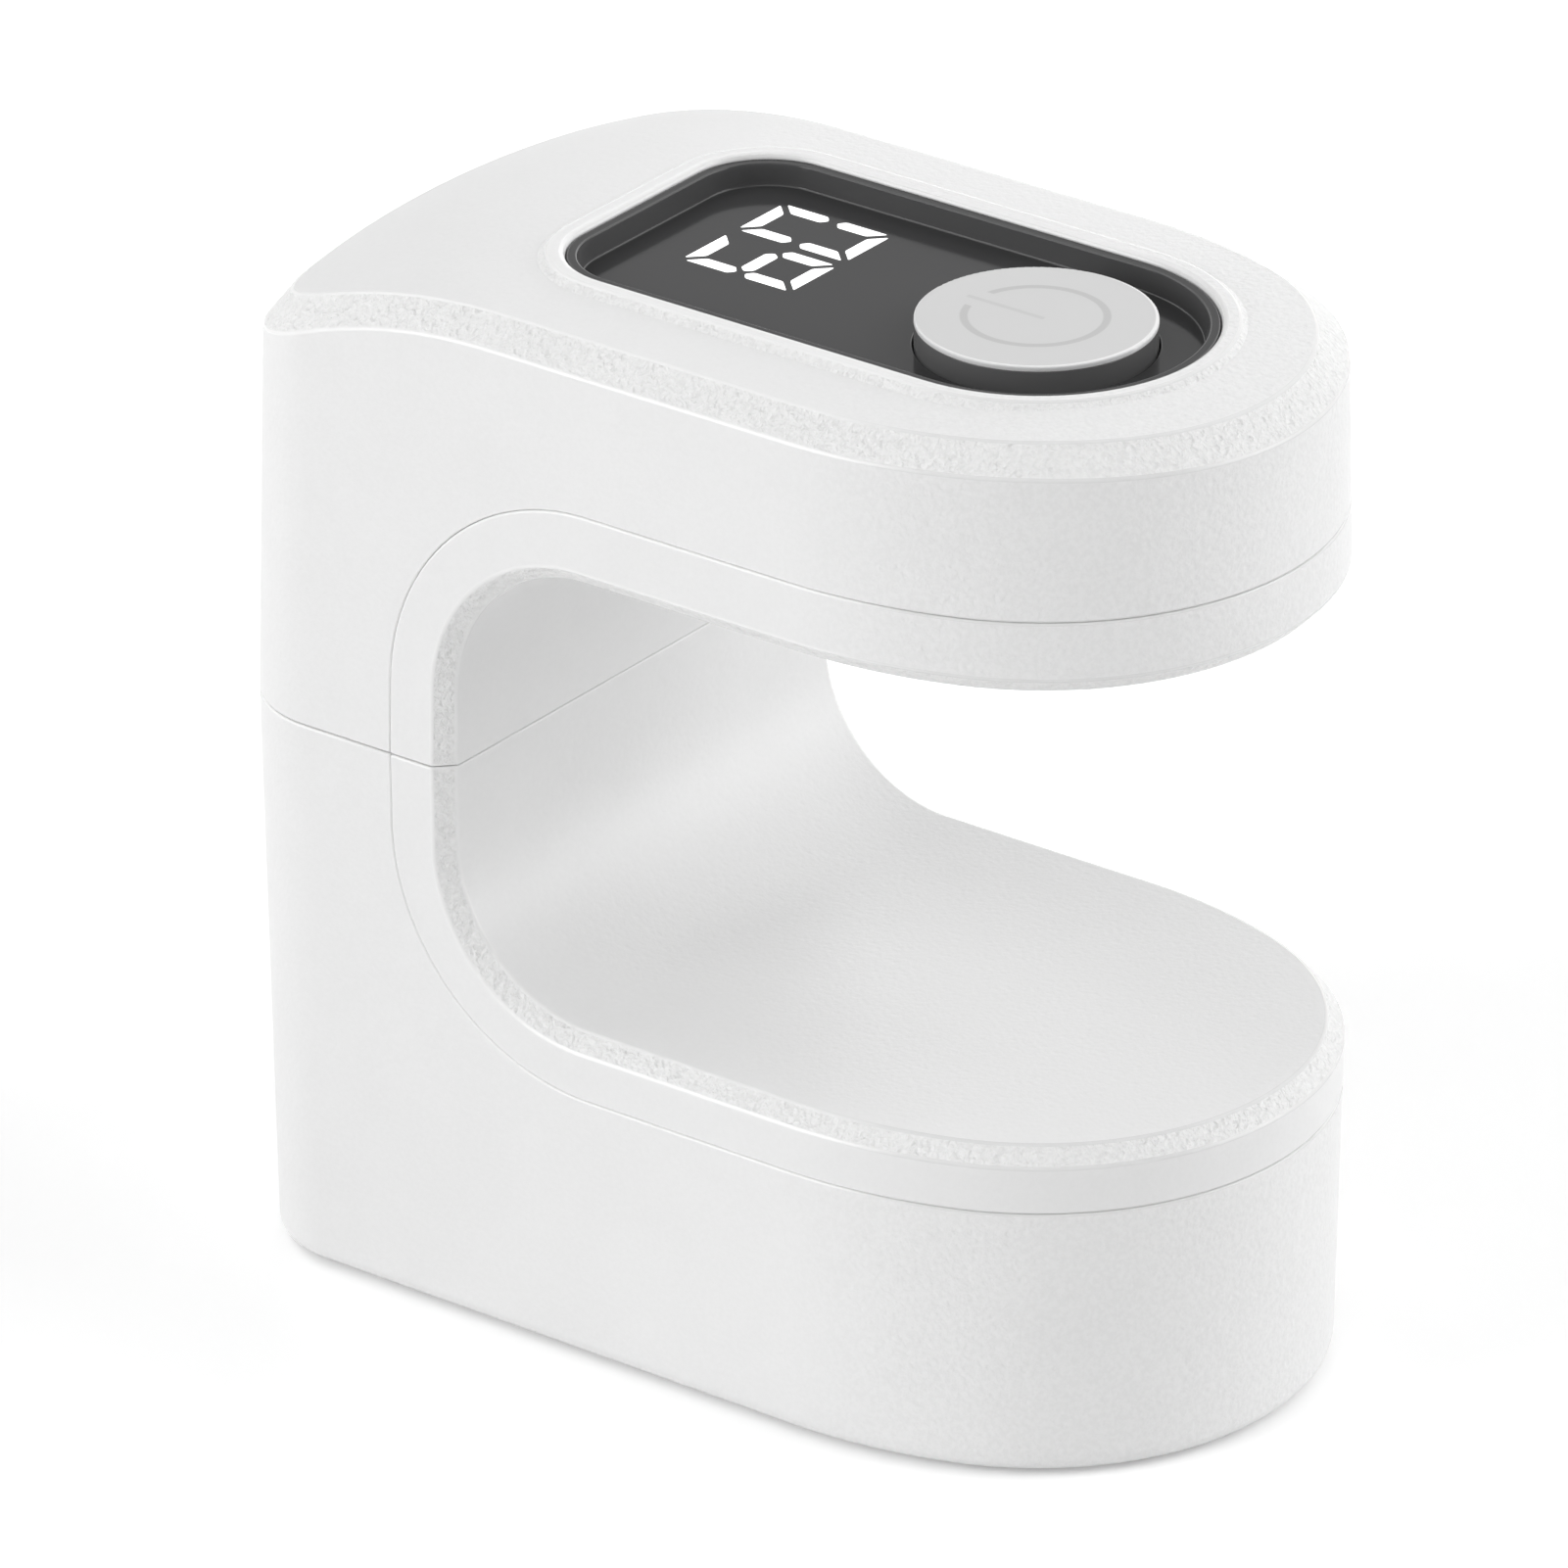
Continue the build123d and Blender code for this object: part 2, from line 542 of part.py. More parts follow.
def upper_shell():
    """Upper outer shell: the head's roof and walls and the upper half of the column."""
    form = upper_form(0)
    top = form.faces().sort_by(Axis.Z)[-1]
    shell = chamfer(top.edges(), TOP_CHAMFER_WIDTH, TOP_CHAMFER_DROP, reference=top) - upper_form(WALL)
    shell -= seam(SEAM_GAP / 2)
    shell &= half_space(True, SEAM_GAP)
    well = slab(window_plan(WELL_WALL), LEDGE_BOTTOM_Z, ROOF_Z + WALL / 2)
    posts = Part()
    for x, y in mirrored_pairs(CONTROL_POST_X, CONTROL_POST_YS):
        posts += rod(x, y, CONTROL_BOARD_TOP_Z, ROOF_Z + WALL / 2, CONTROL_POST_RADIUS)
    for x, y in mirrored_pairs(HEAD_SCREW_X, (HEAD_SCREW_Y,)):
        posts += rod(x, y, HEAD_BOSS_TOP_Z + HEAD_POST_GAP, ROOF_Z + WALL / 2, HEAD_POST_RADIUS)
    for x, y in mirrored_pairs(TOWER_X, (TOWER_Y,)):
        tower = rod(x, y, UPPER_TOWER_Z, HEIGHT, TOWER_RADIUS)
        side = math.copysign(SIDE_X, x)
        web = box(sorted((x, side)), (y - WALL / 2, y + WALL / 2), (UPPER_TOWER_Z + WALL, HEIGHT))
        posts += (tower + web) & upper_form(WALL / 2)
    shell += (well + posts) & upper_form(WALL / 2)
    shell += window_surround()
    shell -= slab(window_plan(), LEDGE_TOP_Z, REACH)
    shell -= slab(window_plan(-LEDGE_WIDTH), LEDGE_BOTTOM_Z - WALL, REACH)
    lip = Pos(0, 0, SURROUND_TOP_Z) * window_plan(LEAD_IN_WIDTH)
    foot = Pos(0, 0, SURROUND_TOP_Z - LEAD_IN_DEPTH) * window_plan()
    shell -= loft([lip, foot], ruled=True)
    for x, y in mirrored_pairs(CONTROL_POST_X, CONTROL_POST_YS):
        shell -= rod(x, y, 0, CONTROL_BOARD_TOP_Z + SMALL_GRIP + PILOT_TIP, SMALL_SHANK + THREAD_CLEARANCE)
    for x, y in mirrored_pairs(HEAD_SCREW_X, (HEAD_SCREW_Y,)):
        shell -= rod(x, y, 0, HEAD_BOSS_TOP_Z + LARGE_GRIP + PILOT_TIP, LARGE_SHANK + THREAD_CLEARANCE)
    for x, y in mirrored_pairs(TOWER_X, (TOWER_Y,)):
        shell -= rod(x, y, 0, UPPER_TOWER_Z + LARGE_GRIP + PILOT_TIP, LARGE_SHANK + THREAD_CLEARANCE)
    return shell


def lower_shell():
    """Lower outer shell: the base's bottom and walls and the lower half of the column."""
    form = lower_form(0)
    bottom = form.faces().sort_by(Axis.Z)[0]
    shell = fillet(bottom.edges(), BOTTOM_FILLET) - lower_form(WALL)
    shell -= seam(SEAM_GAP / 2)
    shell &= half_space(False, SEAM_GAP)
    inside = lower_form(WALL / 2)
    deep = WALL + TONGUE_CLEARANCE + TONGUE_THICKNESS
    behind = box((-REACH, REACH), (SEAM_BACK_Y + TONGUE_REACH + WALL, REACH), (-REACH, REACH))
    root = box((-REACH, REACH), (-REACH, REACH), (MID_SEAM_Z - 2 * TONGUE_REACH, MID_SEAM_Z - SEAM_GAP / 2))
    reach = box((-REACH, REACH), (-REACH, REACH), (MID_SEAM_Z - SEAM_GAP / 2, MID_SEAM_Z + TONGUE_REACH))
    tongue = (lower_form(WALL) - lower_form(deep)) & root
    tongue += (upper_form(WALL + TONGUE_CLEARANCE) - upper_form(deep)) & reach
    tongue += (lower_form(WALL + TONGUE_CLEARANCE) - lower_form(deep)) & reach
    shell += tongue & behind
    fittings = Part()
    for x, y in mirrored_pairs(TOWER_X, (TOWER_Y,)):
        tower = rod(x, y, BOTTOM_Z, TOWER_TOP_Z, TOWER_RADIUS)
        side = math.copysign(SIDE_X, x)
        web = box(sorted((x, side)), (y - WALL / 2, y + WALL / 2), (BOTTOM_Z, TOWER_SEAT_Z - WALL))
        fittings += tower + web
    for x, y in mirrored_pairs(BASE_SCREW_X, (BASE_SCREW_Y,)):
        fittings += rod(x, y, BOTTOM_Z, BASE_BOSS_TOP_Z, BASE_BOSS_RADIUS)
    for y in CRADLE_YS:
        half = CRADLE_WIDTH / 2
        thick = CRADLE_THICKNESS / 2
        heights = (BOTTOM_Z + WALL / 2, FLOOR_Z + CRADLE_HEIGHT)
        fittings += box((-half, half), (y - thick, y + thick), heights)
    for x, y in mirrored_pairs(STRAP_SCREW_X, (STRAP_Y,)):
        fittings += rod(x, y, BOTTOM_Z + WALL / 2, FLOOR_Z + STRAP_BOSS_HEIGHT, STRAP_BOSS_RADIUS)
    for x in (-CHARGE_POST_X, CHARGE_POST_X):
        fittings += rod_along_y(x, CHARGE_POST_Z, CHARGE_BOARD_BACK, BACK_Y, CHARGE_POST_RADIUS)
    fittings += charge_board_shoes()
    shell += fittings & inside
    cradle_front = CELL_FRONT - CRADLE_RUN_OUT
    cradle_back = CELL_BACK + CRADLE_RUN_OUT
    shell -= rod_along_y(0, CELL_Z, cradle_front, cradle_back, CELL_RADIUS + CELL_CLEARANCE)
    for x, y in foot_places():
        shell -= rod(x, y, -REACH, FOOT_SEAT_Z, FOOT_RADIUS)
    for x, y in mirrored_pairs(TOWER_X, (TOWER_Y,)):
        shell -= rod(x, y, 0, TOWER_SEAT_Z, TOWER_BORE)
        shell -= rod(x, y, 0, REACH, LARGE_SHANK + SCREW_CLEARANCE)
    for x, y in mirrored_pairs(BASE_SCREW_X, (BASE_SCREW_Y,)):
        shell -= rod(x, y, 0, BASE_SEAT_Z, TOWER_BORE)
        shell -= rod(x, y, 0, BASE_BOSS_TOP_Z, LARGE_SHANK + SCREW_CLEARANCE)
    strap_top = FLOOR_Z + STRAP_BOSS_HEIGHT
    for x, y in mirrored_pairs(STRAP_SCREW_X, (STRAP_Y,)):
        shell -= rod(x, y, strap_top - SMALL_GRIP - PILOT_TIP / 2, strap_top, SMALL_SHANK + THREAD_CLEARANCE)
    for x in (-CHARGE_POST_X, CHARGE_POST_X):
        end = CHARGE_BOARD_BACK + SMALL_GRIP + PILOT_TIP
        shell -= rod_along_y(x, CHARGE_POST_Z, CHARGE_BOARD_BACK, end, SMALL_SHANK + THREAD_CLEARANCE)
    return shell - port_opening()


def foot_places():
    """Plan positions of the four feet."""
    return mirrored_pairs(BASE_SCREW_X, (BASE_SCREW_Y,)) + mirrored_pairs(TOWER_X, (TOWER_Y,))


def charge_board_shoes():
    """Slotted blocks on the floor that hold the charging board's lower edge."""
    shoes = Part()
    for x in (-SHOE_X, SHOE_X):
        across = (x - SHOE_WIDTH / 2, x + SHOE_WIDTH / 2)
        front = CHARGE_BOARD_FRONT - SHOE_CLEARANCE
        back = CHARGE_BOARD_BACK + SHOE_CLEARANCE
        heights = (BOTTOM_Z + WALL / 2, CHARGE_BOARD_BASE_Z + SHOE_GRIP)
        block = box(across, (front - SHOE_WALL, back + SHOE_WALL), heights)
        shoes += block - box(across, (front, back), (CHARGE_BOARD_BASE_Z, REACH))
    return shoes


def port_outline(grow):
    """Rounded section of the charging socket, seen along Y."""
    width = PORT_WIDTH + 2 * grow
    height = PORT_HEIGHT + 2 * grow
    section = RectangleRounded(width, height, height * PORT_CORNER_SHARE)
    return Plane(origin=(0, 0, PORT_Z), x_dir=(-1, 0, 0), z_dir=(0, 1, 0)) * section


def wall_back_at(z):
    """Y of the rear face of the lower half on the plane of symmetry."""
    return BACK_Y - (MID_SEAM_Z - z) * math.tan(math.radians(DRAFT_LOWER))


def port_opening():
    """Hole for the charging socket, flared at the outer face."""
    face_y = wall_back_at(PORT_Z)
    hole = extrude(Pos(0, face_y - 2 * WALL, 0) * port_outline(PORT_HOLE_CLEARANCE), amount=4 * WALL)
    inner = Pos(0, face_y - PORT_FLARE, 0) * port_outline(PORT_HOLE_CLEARANCE)
    outer = Pos(0, face_y + PORT_FLARE, 0) * port_outline(PORT_HOLE_CLEARANCE + 2 * PORT_FLARE)
    return hole + loft([inner, outer], ruled=True)


def upper_liner():
    """Upper liner: the underside of the head, curving into the upper inner wall of the column."""
    liner = liner_blank(upper_form, True)
    for x, y in mirrored_pairs(LED_POST_X, LED_POST_YS):
        liner += rod(x, y, HEAD_FLOOR_Z - WALL / 2, LED_BOARD_BOTTOM_Z, LED_POST_RADIUS)
    for x, y in mirrored_pairs(HEAD_SCREW_X, (HEAD_SCREW_Y,)):
        boss = rod(x, y, HEAD_FLOOR_Z - WALL / 2, HEAD_BOSS_TOP_Z, HEAD_POST_RADIUS)
        liner -= rod(x, y, HEAD_BOSS_TOP_Z, REACH, HEAD_POST_RADIUS + HEAD_POST_GAP)
        liner += boss & upper_form(WALL / 2)
        liner -= rod(x, y, 0, HEAD_SEAT_Z, LARGE_HEAD + SCREW_CLEARANCE)
        liner -= rod(x, y, 0, REACH, LARGE_SHANK + SCREW_CLEARANCE)
    light = light_plan(LIGHT_OPENING_WIDTH, LIGHT_OPENING_LENGTH)
    seat = light_plan(*lens_size(LENS_CLEARANCE))
    liner -= slab(light, 0, HEAD_FLOOR_Z + WALL)
    liner -= slab(seat, LENS_BOTTOM_Z, HEAD_FLOOR_Z + WALL)
    for x, y in mirrored_pairs(LED_POST_X, LED_POST_YS):
        depth = LED_BOARD_BOTTOM_Z - SMALL_GRIP - PILOT_TIP / 2
        liner -= rod(x, y, depth, LED_BOARD_BOTTOM_Z, SMALL_SHANK + THREAD_CLEARANCE)
    return liner


def light_plan(width, length):
    """Stadium-shaped plan of the light unit."""
    return Pos(0, LIGHT_Y) * Rot(0, 0, 90) * SlotOverall(length, width)


def lens_size(clearance=0.0):
    """Width and length of the lens, or of its seat with a clearance."""
    extra = 2 * (LENS_MARGIN + clearance)
    return LIGHT_OPENING_WIDTH + extra, LIGHT_OPENING_LENGTH + extra


def lower_liner():
    """Lower liner: the top of the base, curving into the lower inner wall of the column."""
    liner = liner_blank(lower_form, False)
    half = SIDE_X - MID_TONGUE_MARGIN
    across = (-half, half)
    wall_y = MOUTH_BACK_Y + WALL
    tongue_y = wall_y + TONGUE_CLEARANCE
    tongue_end = tongue_y + TONGUE_THICKNESS
    root = (MID_SEAM_Z - 2 * TONGUE_REACH, MID_SEAM_Z - SEAM_GAP / 2)
    liner += box(across, (wall_y - WALL / 2, tongue_end), root)
    liner += box(across, (tongue_y, tongue_end), (MID_SEAM_Z - SEAM_GAP, MID_SEAM_Z + TONGUE_REACH))
    pilot = LARGE_SHANK + THREAD_CLEARANCE
    for x, y in mirrored_pairs(BASE_SCREW_X, (BASE_SCREW_Y,)):
        liner += rod(x, y, BASE_BOSS_TOP_Z, BASE_ROOF_Z + WALL / 2, LINER_BOSS_RADIUS)
        liner -= rod(x, y, BASE_BOSS_TOP_Z, BASE_BOSS_TOP_Z + LARGE_GRIP + PILOT_TIP, pilot)
    return liner


def display_window():
    """Dark glossy tray that closes the top of the head, with the button's hole in its floor."""
    rim_top = HEIGHT - WINDOW_RIM_DROP
    tray = slab(window_plan(-WINDOW_CLEARANCE), WINDOW_UNDERSIDE_Z, rim_top)
    edge = -WINDOW_CLEARANCE - WINDOW_RIM
    floor = Pos(0, 0, WINDOW_FLOOR_Z) * window_plan(edge - WINDOW_RIM_DRAFT)
    brim = Pos(0, 0, rim_top) * window_plan(edge)
    tray -= loft([floor, brim], ruled=True)
    return tray - rod(0, BUTTON_Y, 0, REACH, BUTTON_RADIUS + BUTTON_CLEARANCE)


def window_gasket():
    """Thin adhesive frame between the window and its ledge."""
    outer = slab(window_plan(-WINDOW_CLEARANCE), LEDGE_TOP_Z, WINDOW_UNDERSIDE_Z)
    return outer - slab(window_plan(-WINDOW_CLEARANCE - GASKET_WIDTH), 0, REACH)


def button_cap():
    """Light disc on top of the button, with a spigot into the skirt."""
    cap = rod(0, BUTTON_Y, CAP_BOTTOM_Z, BUTTON_TOP_Z, BUTTON_RADIUS)
    cap = fillet(cap.edges().sort_by(Axis.Z)[-1], CAP_EDGE)
    return cap + rod(0, BUTTON_Y, WEB_BOTTOM_Z, CAP_BOTTOM_Z, CAP_SPIGOT_RADIUS)


def button_skirt():
    """Dark body of the button: a ribbed cup with a retaining flange and a stem to the switch."""
    skirt = rod(0, BUTTON_Y, FLANGE_BOTTOM_Z, CAP_BOTTOM_Z, BUTTON_RADIUS)
    skirt += rod(0, BUTTON_Y, FLANGE_BOTTOM_Z, FLANGE_TOP_Z, BUTTON_RADIUS + FLANGE_REACH)
    skirt -= rod(0, BUTTON_Y, 0, WEB_BOTTOM_Z, BUTTON_RADIUS - SKIRT_WALL)
    skirt -= rod(0, BUTTON_Y, 0, REACH, CAP_SPIGOT_RADIUS + CAP_SPIGOT_CLEARANCE)
    stem_top = WEB_BOTTOM_Z
    hub = rod(0, BUTTON_Y, FLANGE_TOP_Z, stem_top, CAP_SPIGOT_RADIUS + SKIRT_WALL)
    stem = rod(0, BUTTON_Y, PLUNGER_TOP_Z + PLUNGER_GAP, stem_top, STEM_RADIUS)
    spokes = Part()
    for index in range(SPOKE_COUNT // 2):
        spoke = Box(2 * BUTTON_RADIUS - SKIRT_WALL, SPOKE_THICKNESS, stem_top - FLANGE_TOP_Z)
        turned = Rot(0, 0, 360 * index / SPOKE_COUNT) * spoke
        spokes += Pos(0, BUTTON_Y, (stem_top + FLANGE_TOP_Z) / 2) * turned
    return skirt + hub + stem + spokes


def tact_switch():
    """Body of the tactile switch, bored for its plunger."""
    half = SWITCH_SIZE / 2
    body = box((-half, half), (BUTTON_Y - half, BUTTON_Y + half), (CONTROL_BOARD_TOP_Z, SWITCH_TOP_Z))
    body = chamfer(body.edges().filter_by(Axis.Z), half / 6)
    bore_bottom = PLUNGER_BOTTOM_Z - 2 * BUTTON_TRAVEL
    return body - rod(0, BUTTON_Y, bore_bottom, REACH, PLUNGER_RADIUS + PLUNGER_CLEARANCE)


def switch_plunger():
    """Moving plunger of the tactile switch."""
    plunger = rod(0, BUTTON_Y, PLUNGER_BOTTOM_Z, PLUNGER_TOP_Z, PLUNGER_RADIUS)
    return chamfer(plunger.edges().sort_by(Axis.Z)[-1], PLUNGER_RADIUS / 6)


def segment_places():
    """Middle and turn of each of the seven segments of one digit, seen from the front."""
    across = (DIGIT_WIDTH - SEGMENT_THICKNESS) / 2
    along = (DIGIT_HEIGHT - SEGMENT_THICKNESS) / 4
    level = [(0, side * 2 * along, 0) for side in (-1, 0, 1)]
    upright = [(x * across, y * along, 90) for x in (-1, 1) for y in (-1, 1)]
    return level + upright


def display_module():
    """Three-digit seven-segment display, with its segment openings in the top face."""
    body = rounded_plate(DISPLAY_WIDTH, DISPLAY_LENGTH, SEGMENT_THICKNESS / 2, DISPLAY_Y,
                         CONTROL_BOARD_TOP_Z, DISPLAY_TOP_Z)
    length = DIGIT_WIDTH - SEGMENT_THICKNESS - SEGMENT_GAP
    for digit in range(DIGIT_COUNT):
        digit_x = (digit - (DIGIT_COUNT - 1) / 2) * DIGIT_PITCH
        for x, y, turn in segment_places():
            reach = length if turn == 0 else (DIGIT_HEIGHT - SEGMENT_THICKNESS) / 2 - SEGMENT_GAP
            bar = Box(reach - SEGMENT_THICKNESS / 2, SEGMENT_THICKNESS, SEGMENT_DEPTH)
            place = Pos(digit_x + x, DISPLAY_Y + y, DISPLAY_TOP_Z - SEGMENT_DEPTH / 2)
            body -= place * Rot(0, 0, turn) * bar
    return body


def control_board():
    """Main circuit board under the window."""
    length = CONTROL_BOARD_BACK - CONTROL_BOARD_FRONT
    middle = (CONTROL_BOARD_BACK + CONTROL_BOARD_FRONT) / 2
    board = rounded_plate(CONTROL_BOARD_WIDTH, length, CONTROL_BOARD_CORNER, middle,
                          CONTROL_BOARD_BOTTOM_Z, CONTROL_BOARD_TOP_Z)
    for x, y in mirrored_pairs(CONTROL_POST_X, CONTROL_POST_YS):
        board -= rod(x, y, 0, REACH, SMALL_SHANK + SCREW_CLEARANCE)
    return board


def control_board_screws():
    """Four screws that hold the control board to the roof posts."""
    length = CONTROL_BOARD_THICKNESS + SMALL_GRIP
    places = mirrored_pairs(CONTROL_POST_X, CONTROL_POST_YS)
    return [Pos(x, y, CONTROL_BOARD_BOTTOM_Z) * small_screw(length) for x, y in places]


def board_link():
    """Socket and header that join the light board to the control board."""
    half = LINK_SIZE_X / 2
    depth = LINK_SIZE_Y / 2
    return box((-half, half), (LINK_Y - depth, LINK_Y + depth), (LED_BOARD_TOP_Z, CONTROL_BOARD_BOTTOM_Z))


def led_board():
    """Metal-core board that carries the ultraviolet emitters, with a tail for the link."""
    board = rounded_plate(LED_BOARD_WIDTH, LED_BOARD_LENGTH, LED_BOARD_CORNER, LIGHT_Y,
                          LED_BOARD_BOTTOM_Z, LED_BOARD_TOP_Z)
    half = LINK_SIZE_X / 2 + LINK_MARGIN
    tail_end = LINK_Y + LINK_SIZE_Y / 2 + LINK_MARGIN
    board += box((-half, half), (LIGHT_Y, tail_end), (LED_BOARD_BOTTOM_Z, LED_BOARD_TOP_Z))
    for x, y in mirrored_pairs(LED_POST_X, LED_POST_YS):
        board -= rod(x, y, 0, REACH, SMALL_SHANK + SCREW_CLEARANCE)
    return board


def led_board_screws():
    """Four screws that clamp the light board, reflector and lens to the upper liner."""
    length = LED_BOARD_THICKNESS + SMALL_GRIP
    down = Rot(180, 0, 0) * small_screw(length)
    return [Pos(x, y, LED_BOARD_TOP_Z) * down for x, y in mirrored_pairs(LED_POST_X, LED_POST_YS)]


def led_places():
    """Plan positions of the emitters."""
    columns = [(index - (LED_COLUMNS - 1) / 2) * LED_PITCH_X for index in range(LED_COLUMNS)]
    rows = [LIGHT_Y + (index - (LED_ROWS - 1) / 2) * LED_PITCH_Y for index in range(LED_ROWS)]
    return [(x, y) for y in rows for x in columns]


def uv_leds():
    """Emitters hanging from the light board, each a square base with a domed lens."""
    leds = []
    for x, y in led_places():
        base = rounded_plate(LED_SIZE, LED_SIZE, LED_SIZE / 8, 0, -LED_BASE, 0)
        dome = Pos(0, 0, -LED_BASE) * Sphere(LED_DOME_RADIUS)
        dome &= box((-LED_SIZE, LED_SIZE), (-LED_SIZE, LED_SIZE), (-LED_SIZE, -LED_BASE))
        leds.append(Pos(x, y, LED_BOARD_BOTTOM_Z) * (base + dome))
    return leds


def reflector():
    """Bright reflector plate with a conical cup round each emitter."""
    plate = slab(light_plan(*lens_size()), LENS_TOP_Z, LED_BOARD_BOTTOM_Z)
    cup = Cone(REFLECTOR_CUP_RADIUS, REFLECTOR_CUP_NECK, REFLECTOR_THICKNESS)
    for x, y in led_places():
        plate -= Pos(x, y, (LENS_TOP_Z + LED_BOARD_BOTTOM_Z) / 2) * cup
    return plate


def led_lens():
    """Clear cover plate of the light unit, seated in the liner from inside."""
    return slab(light_plan(*lens_size()), LENS_BOTTOM_Z, LENS_TOP_Z)


def head_screws():
    """Two screws at the nose that hold the upper liner to the upper shell."""
    length = HEAD_BOSS_TOP_Z - HEAD_SEAT_Z + LARGE_GRIP
    places = mirrored_pairs(HEAD_SCREW_X, (HEAD_SCREW_Y,))
    return [Pos(x, y, HEAD_SEAT_Z) * large_screw(length) for x, y in places]


def column_screws():
    """Two screws inside the column towers that join the lower shell to the upper shell."""
    length = UPPER_TOWER_Z - TOWER_SEAT_Z + LARGE_GRIP
    return [Pos(x, y, TOWER_SEAT_Z) * large_screw(length) for x, y in mirrored_pairs(TOWER_X, (TOWER_Y,))]


def base_screws():
    """Two screws under the front feet that hold the lower liner."""
    length = BASE_SEAT + LARGE_GRIP
    places = mirrored_pairs(BASE_SCREW_X, (BASE_SCREW_Y,))
    return [Pos(x, y, BASE_SEAT_Z) * large_screw(length) for x, y in places]


def rubber_feet():
    """Four soft round feet, slightly proud of the bottom."""
    feet = []
    for x, y in foot_places():
        foot = rod(x, y, 0, FOOT_SEAT_Z, FOOT_RADIUS - FOOT_CLEARANCE)
        feet.append(fillet(foot.edges().sort_by(Axis.Z)[0], FOOT_EDGE))
    return feet


def battery_cell():
    """Cylindrical rechargeable cell with its raised terminal at the front."""
    cell = rod_along_y(0, CELL_Z, CELL_FRONT, CELL_BACK, CELL_RADIUS)
    cell = fillet(cell.edges().filter_by(GeomType.CIRCLE), CELL_EDGE)
    terminal_front = CELL_FRONT - CELL_TERMINAL_HEIGHT
    return cell + rod_along_y(0, CELL_Z, terminal_front, CELL_FRONT + CELL_EDGE, CELL_TERMINAL_RADIUS)


def battery_strap():
    """Arched strap over the cell, screwed down on two bosses of the base."""
    low = FLOOR_Z + STRAP_BOSS_HEIGHT
    high = low + STRAP_THICKNESS
    front = STRAP_Y - STRAP_WIDTH / 2
    back = STRAP_Y + STRAP_WIDTH / 2
    inner = CELL_RADIUS + CELL_CLEARANCE
    outer = inner + STRAP_THICKNESS
    arch = rod_along_y(0, CELL_Z, front, back, outer)
    arch += box((-outer, outer), (front, back), (low, CELL_Z))
    reach = STRAP_SCREW_X + STRAP_FLANGE_MARGIN
    strap = arch & box((-outer, outer), (front, back), (low, REACH))
    strap += box((-reach, reach), (front, back), (low, high))
    strap -= rod_along_y(0, CELL_Z, front, back, inner)
    strap -= box((-inner, inner), (front, back), (0, CELL_Z))
    for x, y in mirrored_pairs(STRAP_SCREW_X, (STRAP_Y,)):
        strap -= rod(x, y, 0, REACH, SMALL_SHANK + SCREW_CLEARANCE)
    return strap


def battery_strap_screws():
    """Two screws that hold the strap down."""
    top = FLOOR_Z + STRAP_BOSS_HEIGHT + STRAP_THICKNESS
    down = Rot(180, 0, 0) * small_screw(STRAP_THICKNESS + SMALL_GRIP)
    return [Pos(x, y, top) * down for x, y in mirrored_pairs(STRAP_SCREW_X, (STRAP_Y,))]


def charge_board():
    """Charging circuit board, standing across the base behind the cell."""
    top = CHARGE_BOARD_BASE_Z + CHARGE_BOARD_HEIGHT
    half = CHARGE_BOARD_HALF
    board = box((-half, half), (CHARGE_BOARD_FRONT, CHARGE_BOARD_BACK), (CHARGE_BOARD_BASE_Z, top))
    for x in (-CHARGE_POST_X, CHARGE_POST_X):
        board -= rod_along_y(x, CHARGE_POST_Z, 0, REACH, SMALL_SHANK + SCREW_CLEARANCE)
    return board


def charge_board_screws():
    """Two screws that hold the charging board to the rear wall."""
    back_facing = Rot(-90, 0, 0) * small_screw(CHARGE_BOARD_THICKNESS + SMALL_GRIP)
    return [Pos(x, CHARGE_BOARD_FRONT, CHARGE_POST_Z) * back_facing for x in (-CHARGE_POST_X, CHARGE_POST_X)]


def port_mouth_y():
    """Y of the charging socket's open end."""
    return wall_back_at(PORT_Z) - PORT_SETBACK


def usb_port():
    """Metal shell of the charging socket, open to the rear."""
    depth = port_mouth_y() - CHARGE_BOARD_BACK
    shell = extrude(Pos(0, CHARGE_BOARD_BACK, 0) * port_outline(0), amount=depth)
    return shell - extrude(Pos(0, CHARGE_BOARD_BACK, 0) * port_outline(-PORT_WALL), amount=depth)


def usb_tongue():
    """Insulating block and contact tongue inside the charging socket."""
    plug = extrude(Pos(0, CHARGE_BOARD_BACK, 0) * port_outline(-PORT_WALL), amount=PORT_BACKING)
    half = TONGUE_PLATE_WIDTH / 2
    thick = TONGUE_PLATE_THICKNESS / 2
    plate = box((-half, half), (CHARGE_BOARD_BACK, port_mouth_y() - TONGUE_PLATE_SETBACK),
                (PORT_Z - thick, PORT_Z + thick))
    return plug + plate


def power_leads():
    """Pair of leads from the charging board up the column to the control board."""
    leads = []
    for x in (-LEAD_SPACING / 2, LEAD_SPACING / 2):
        points = [
            (x, CHARGE_BOARD_BACK, LEAD_EXIT_Z),
            (x, LEAD_RISER_Y, LEAD_EXIT_Z),
            (x, LEAD_RISER_Y, LEAD_TOP_Z),
            (x, LEAD_END_Y, LEAD_TOP_Z),
            (x, LEAD_END_Y, CONTROL_BOARD_BOTTOM_Z),
        ]
        path = FilletPolyline(*points, radius=[LEAD_EXIT_BEND, LEAD_BEND, LEAD_END_BEND])
        start = Plane(origin=path @ 0, z_dir=path % 0)
        leads.append(sweep(start * Circle(LEAD_RADIUS), path=path))
    return leads


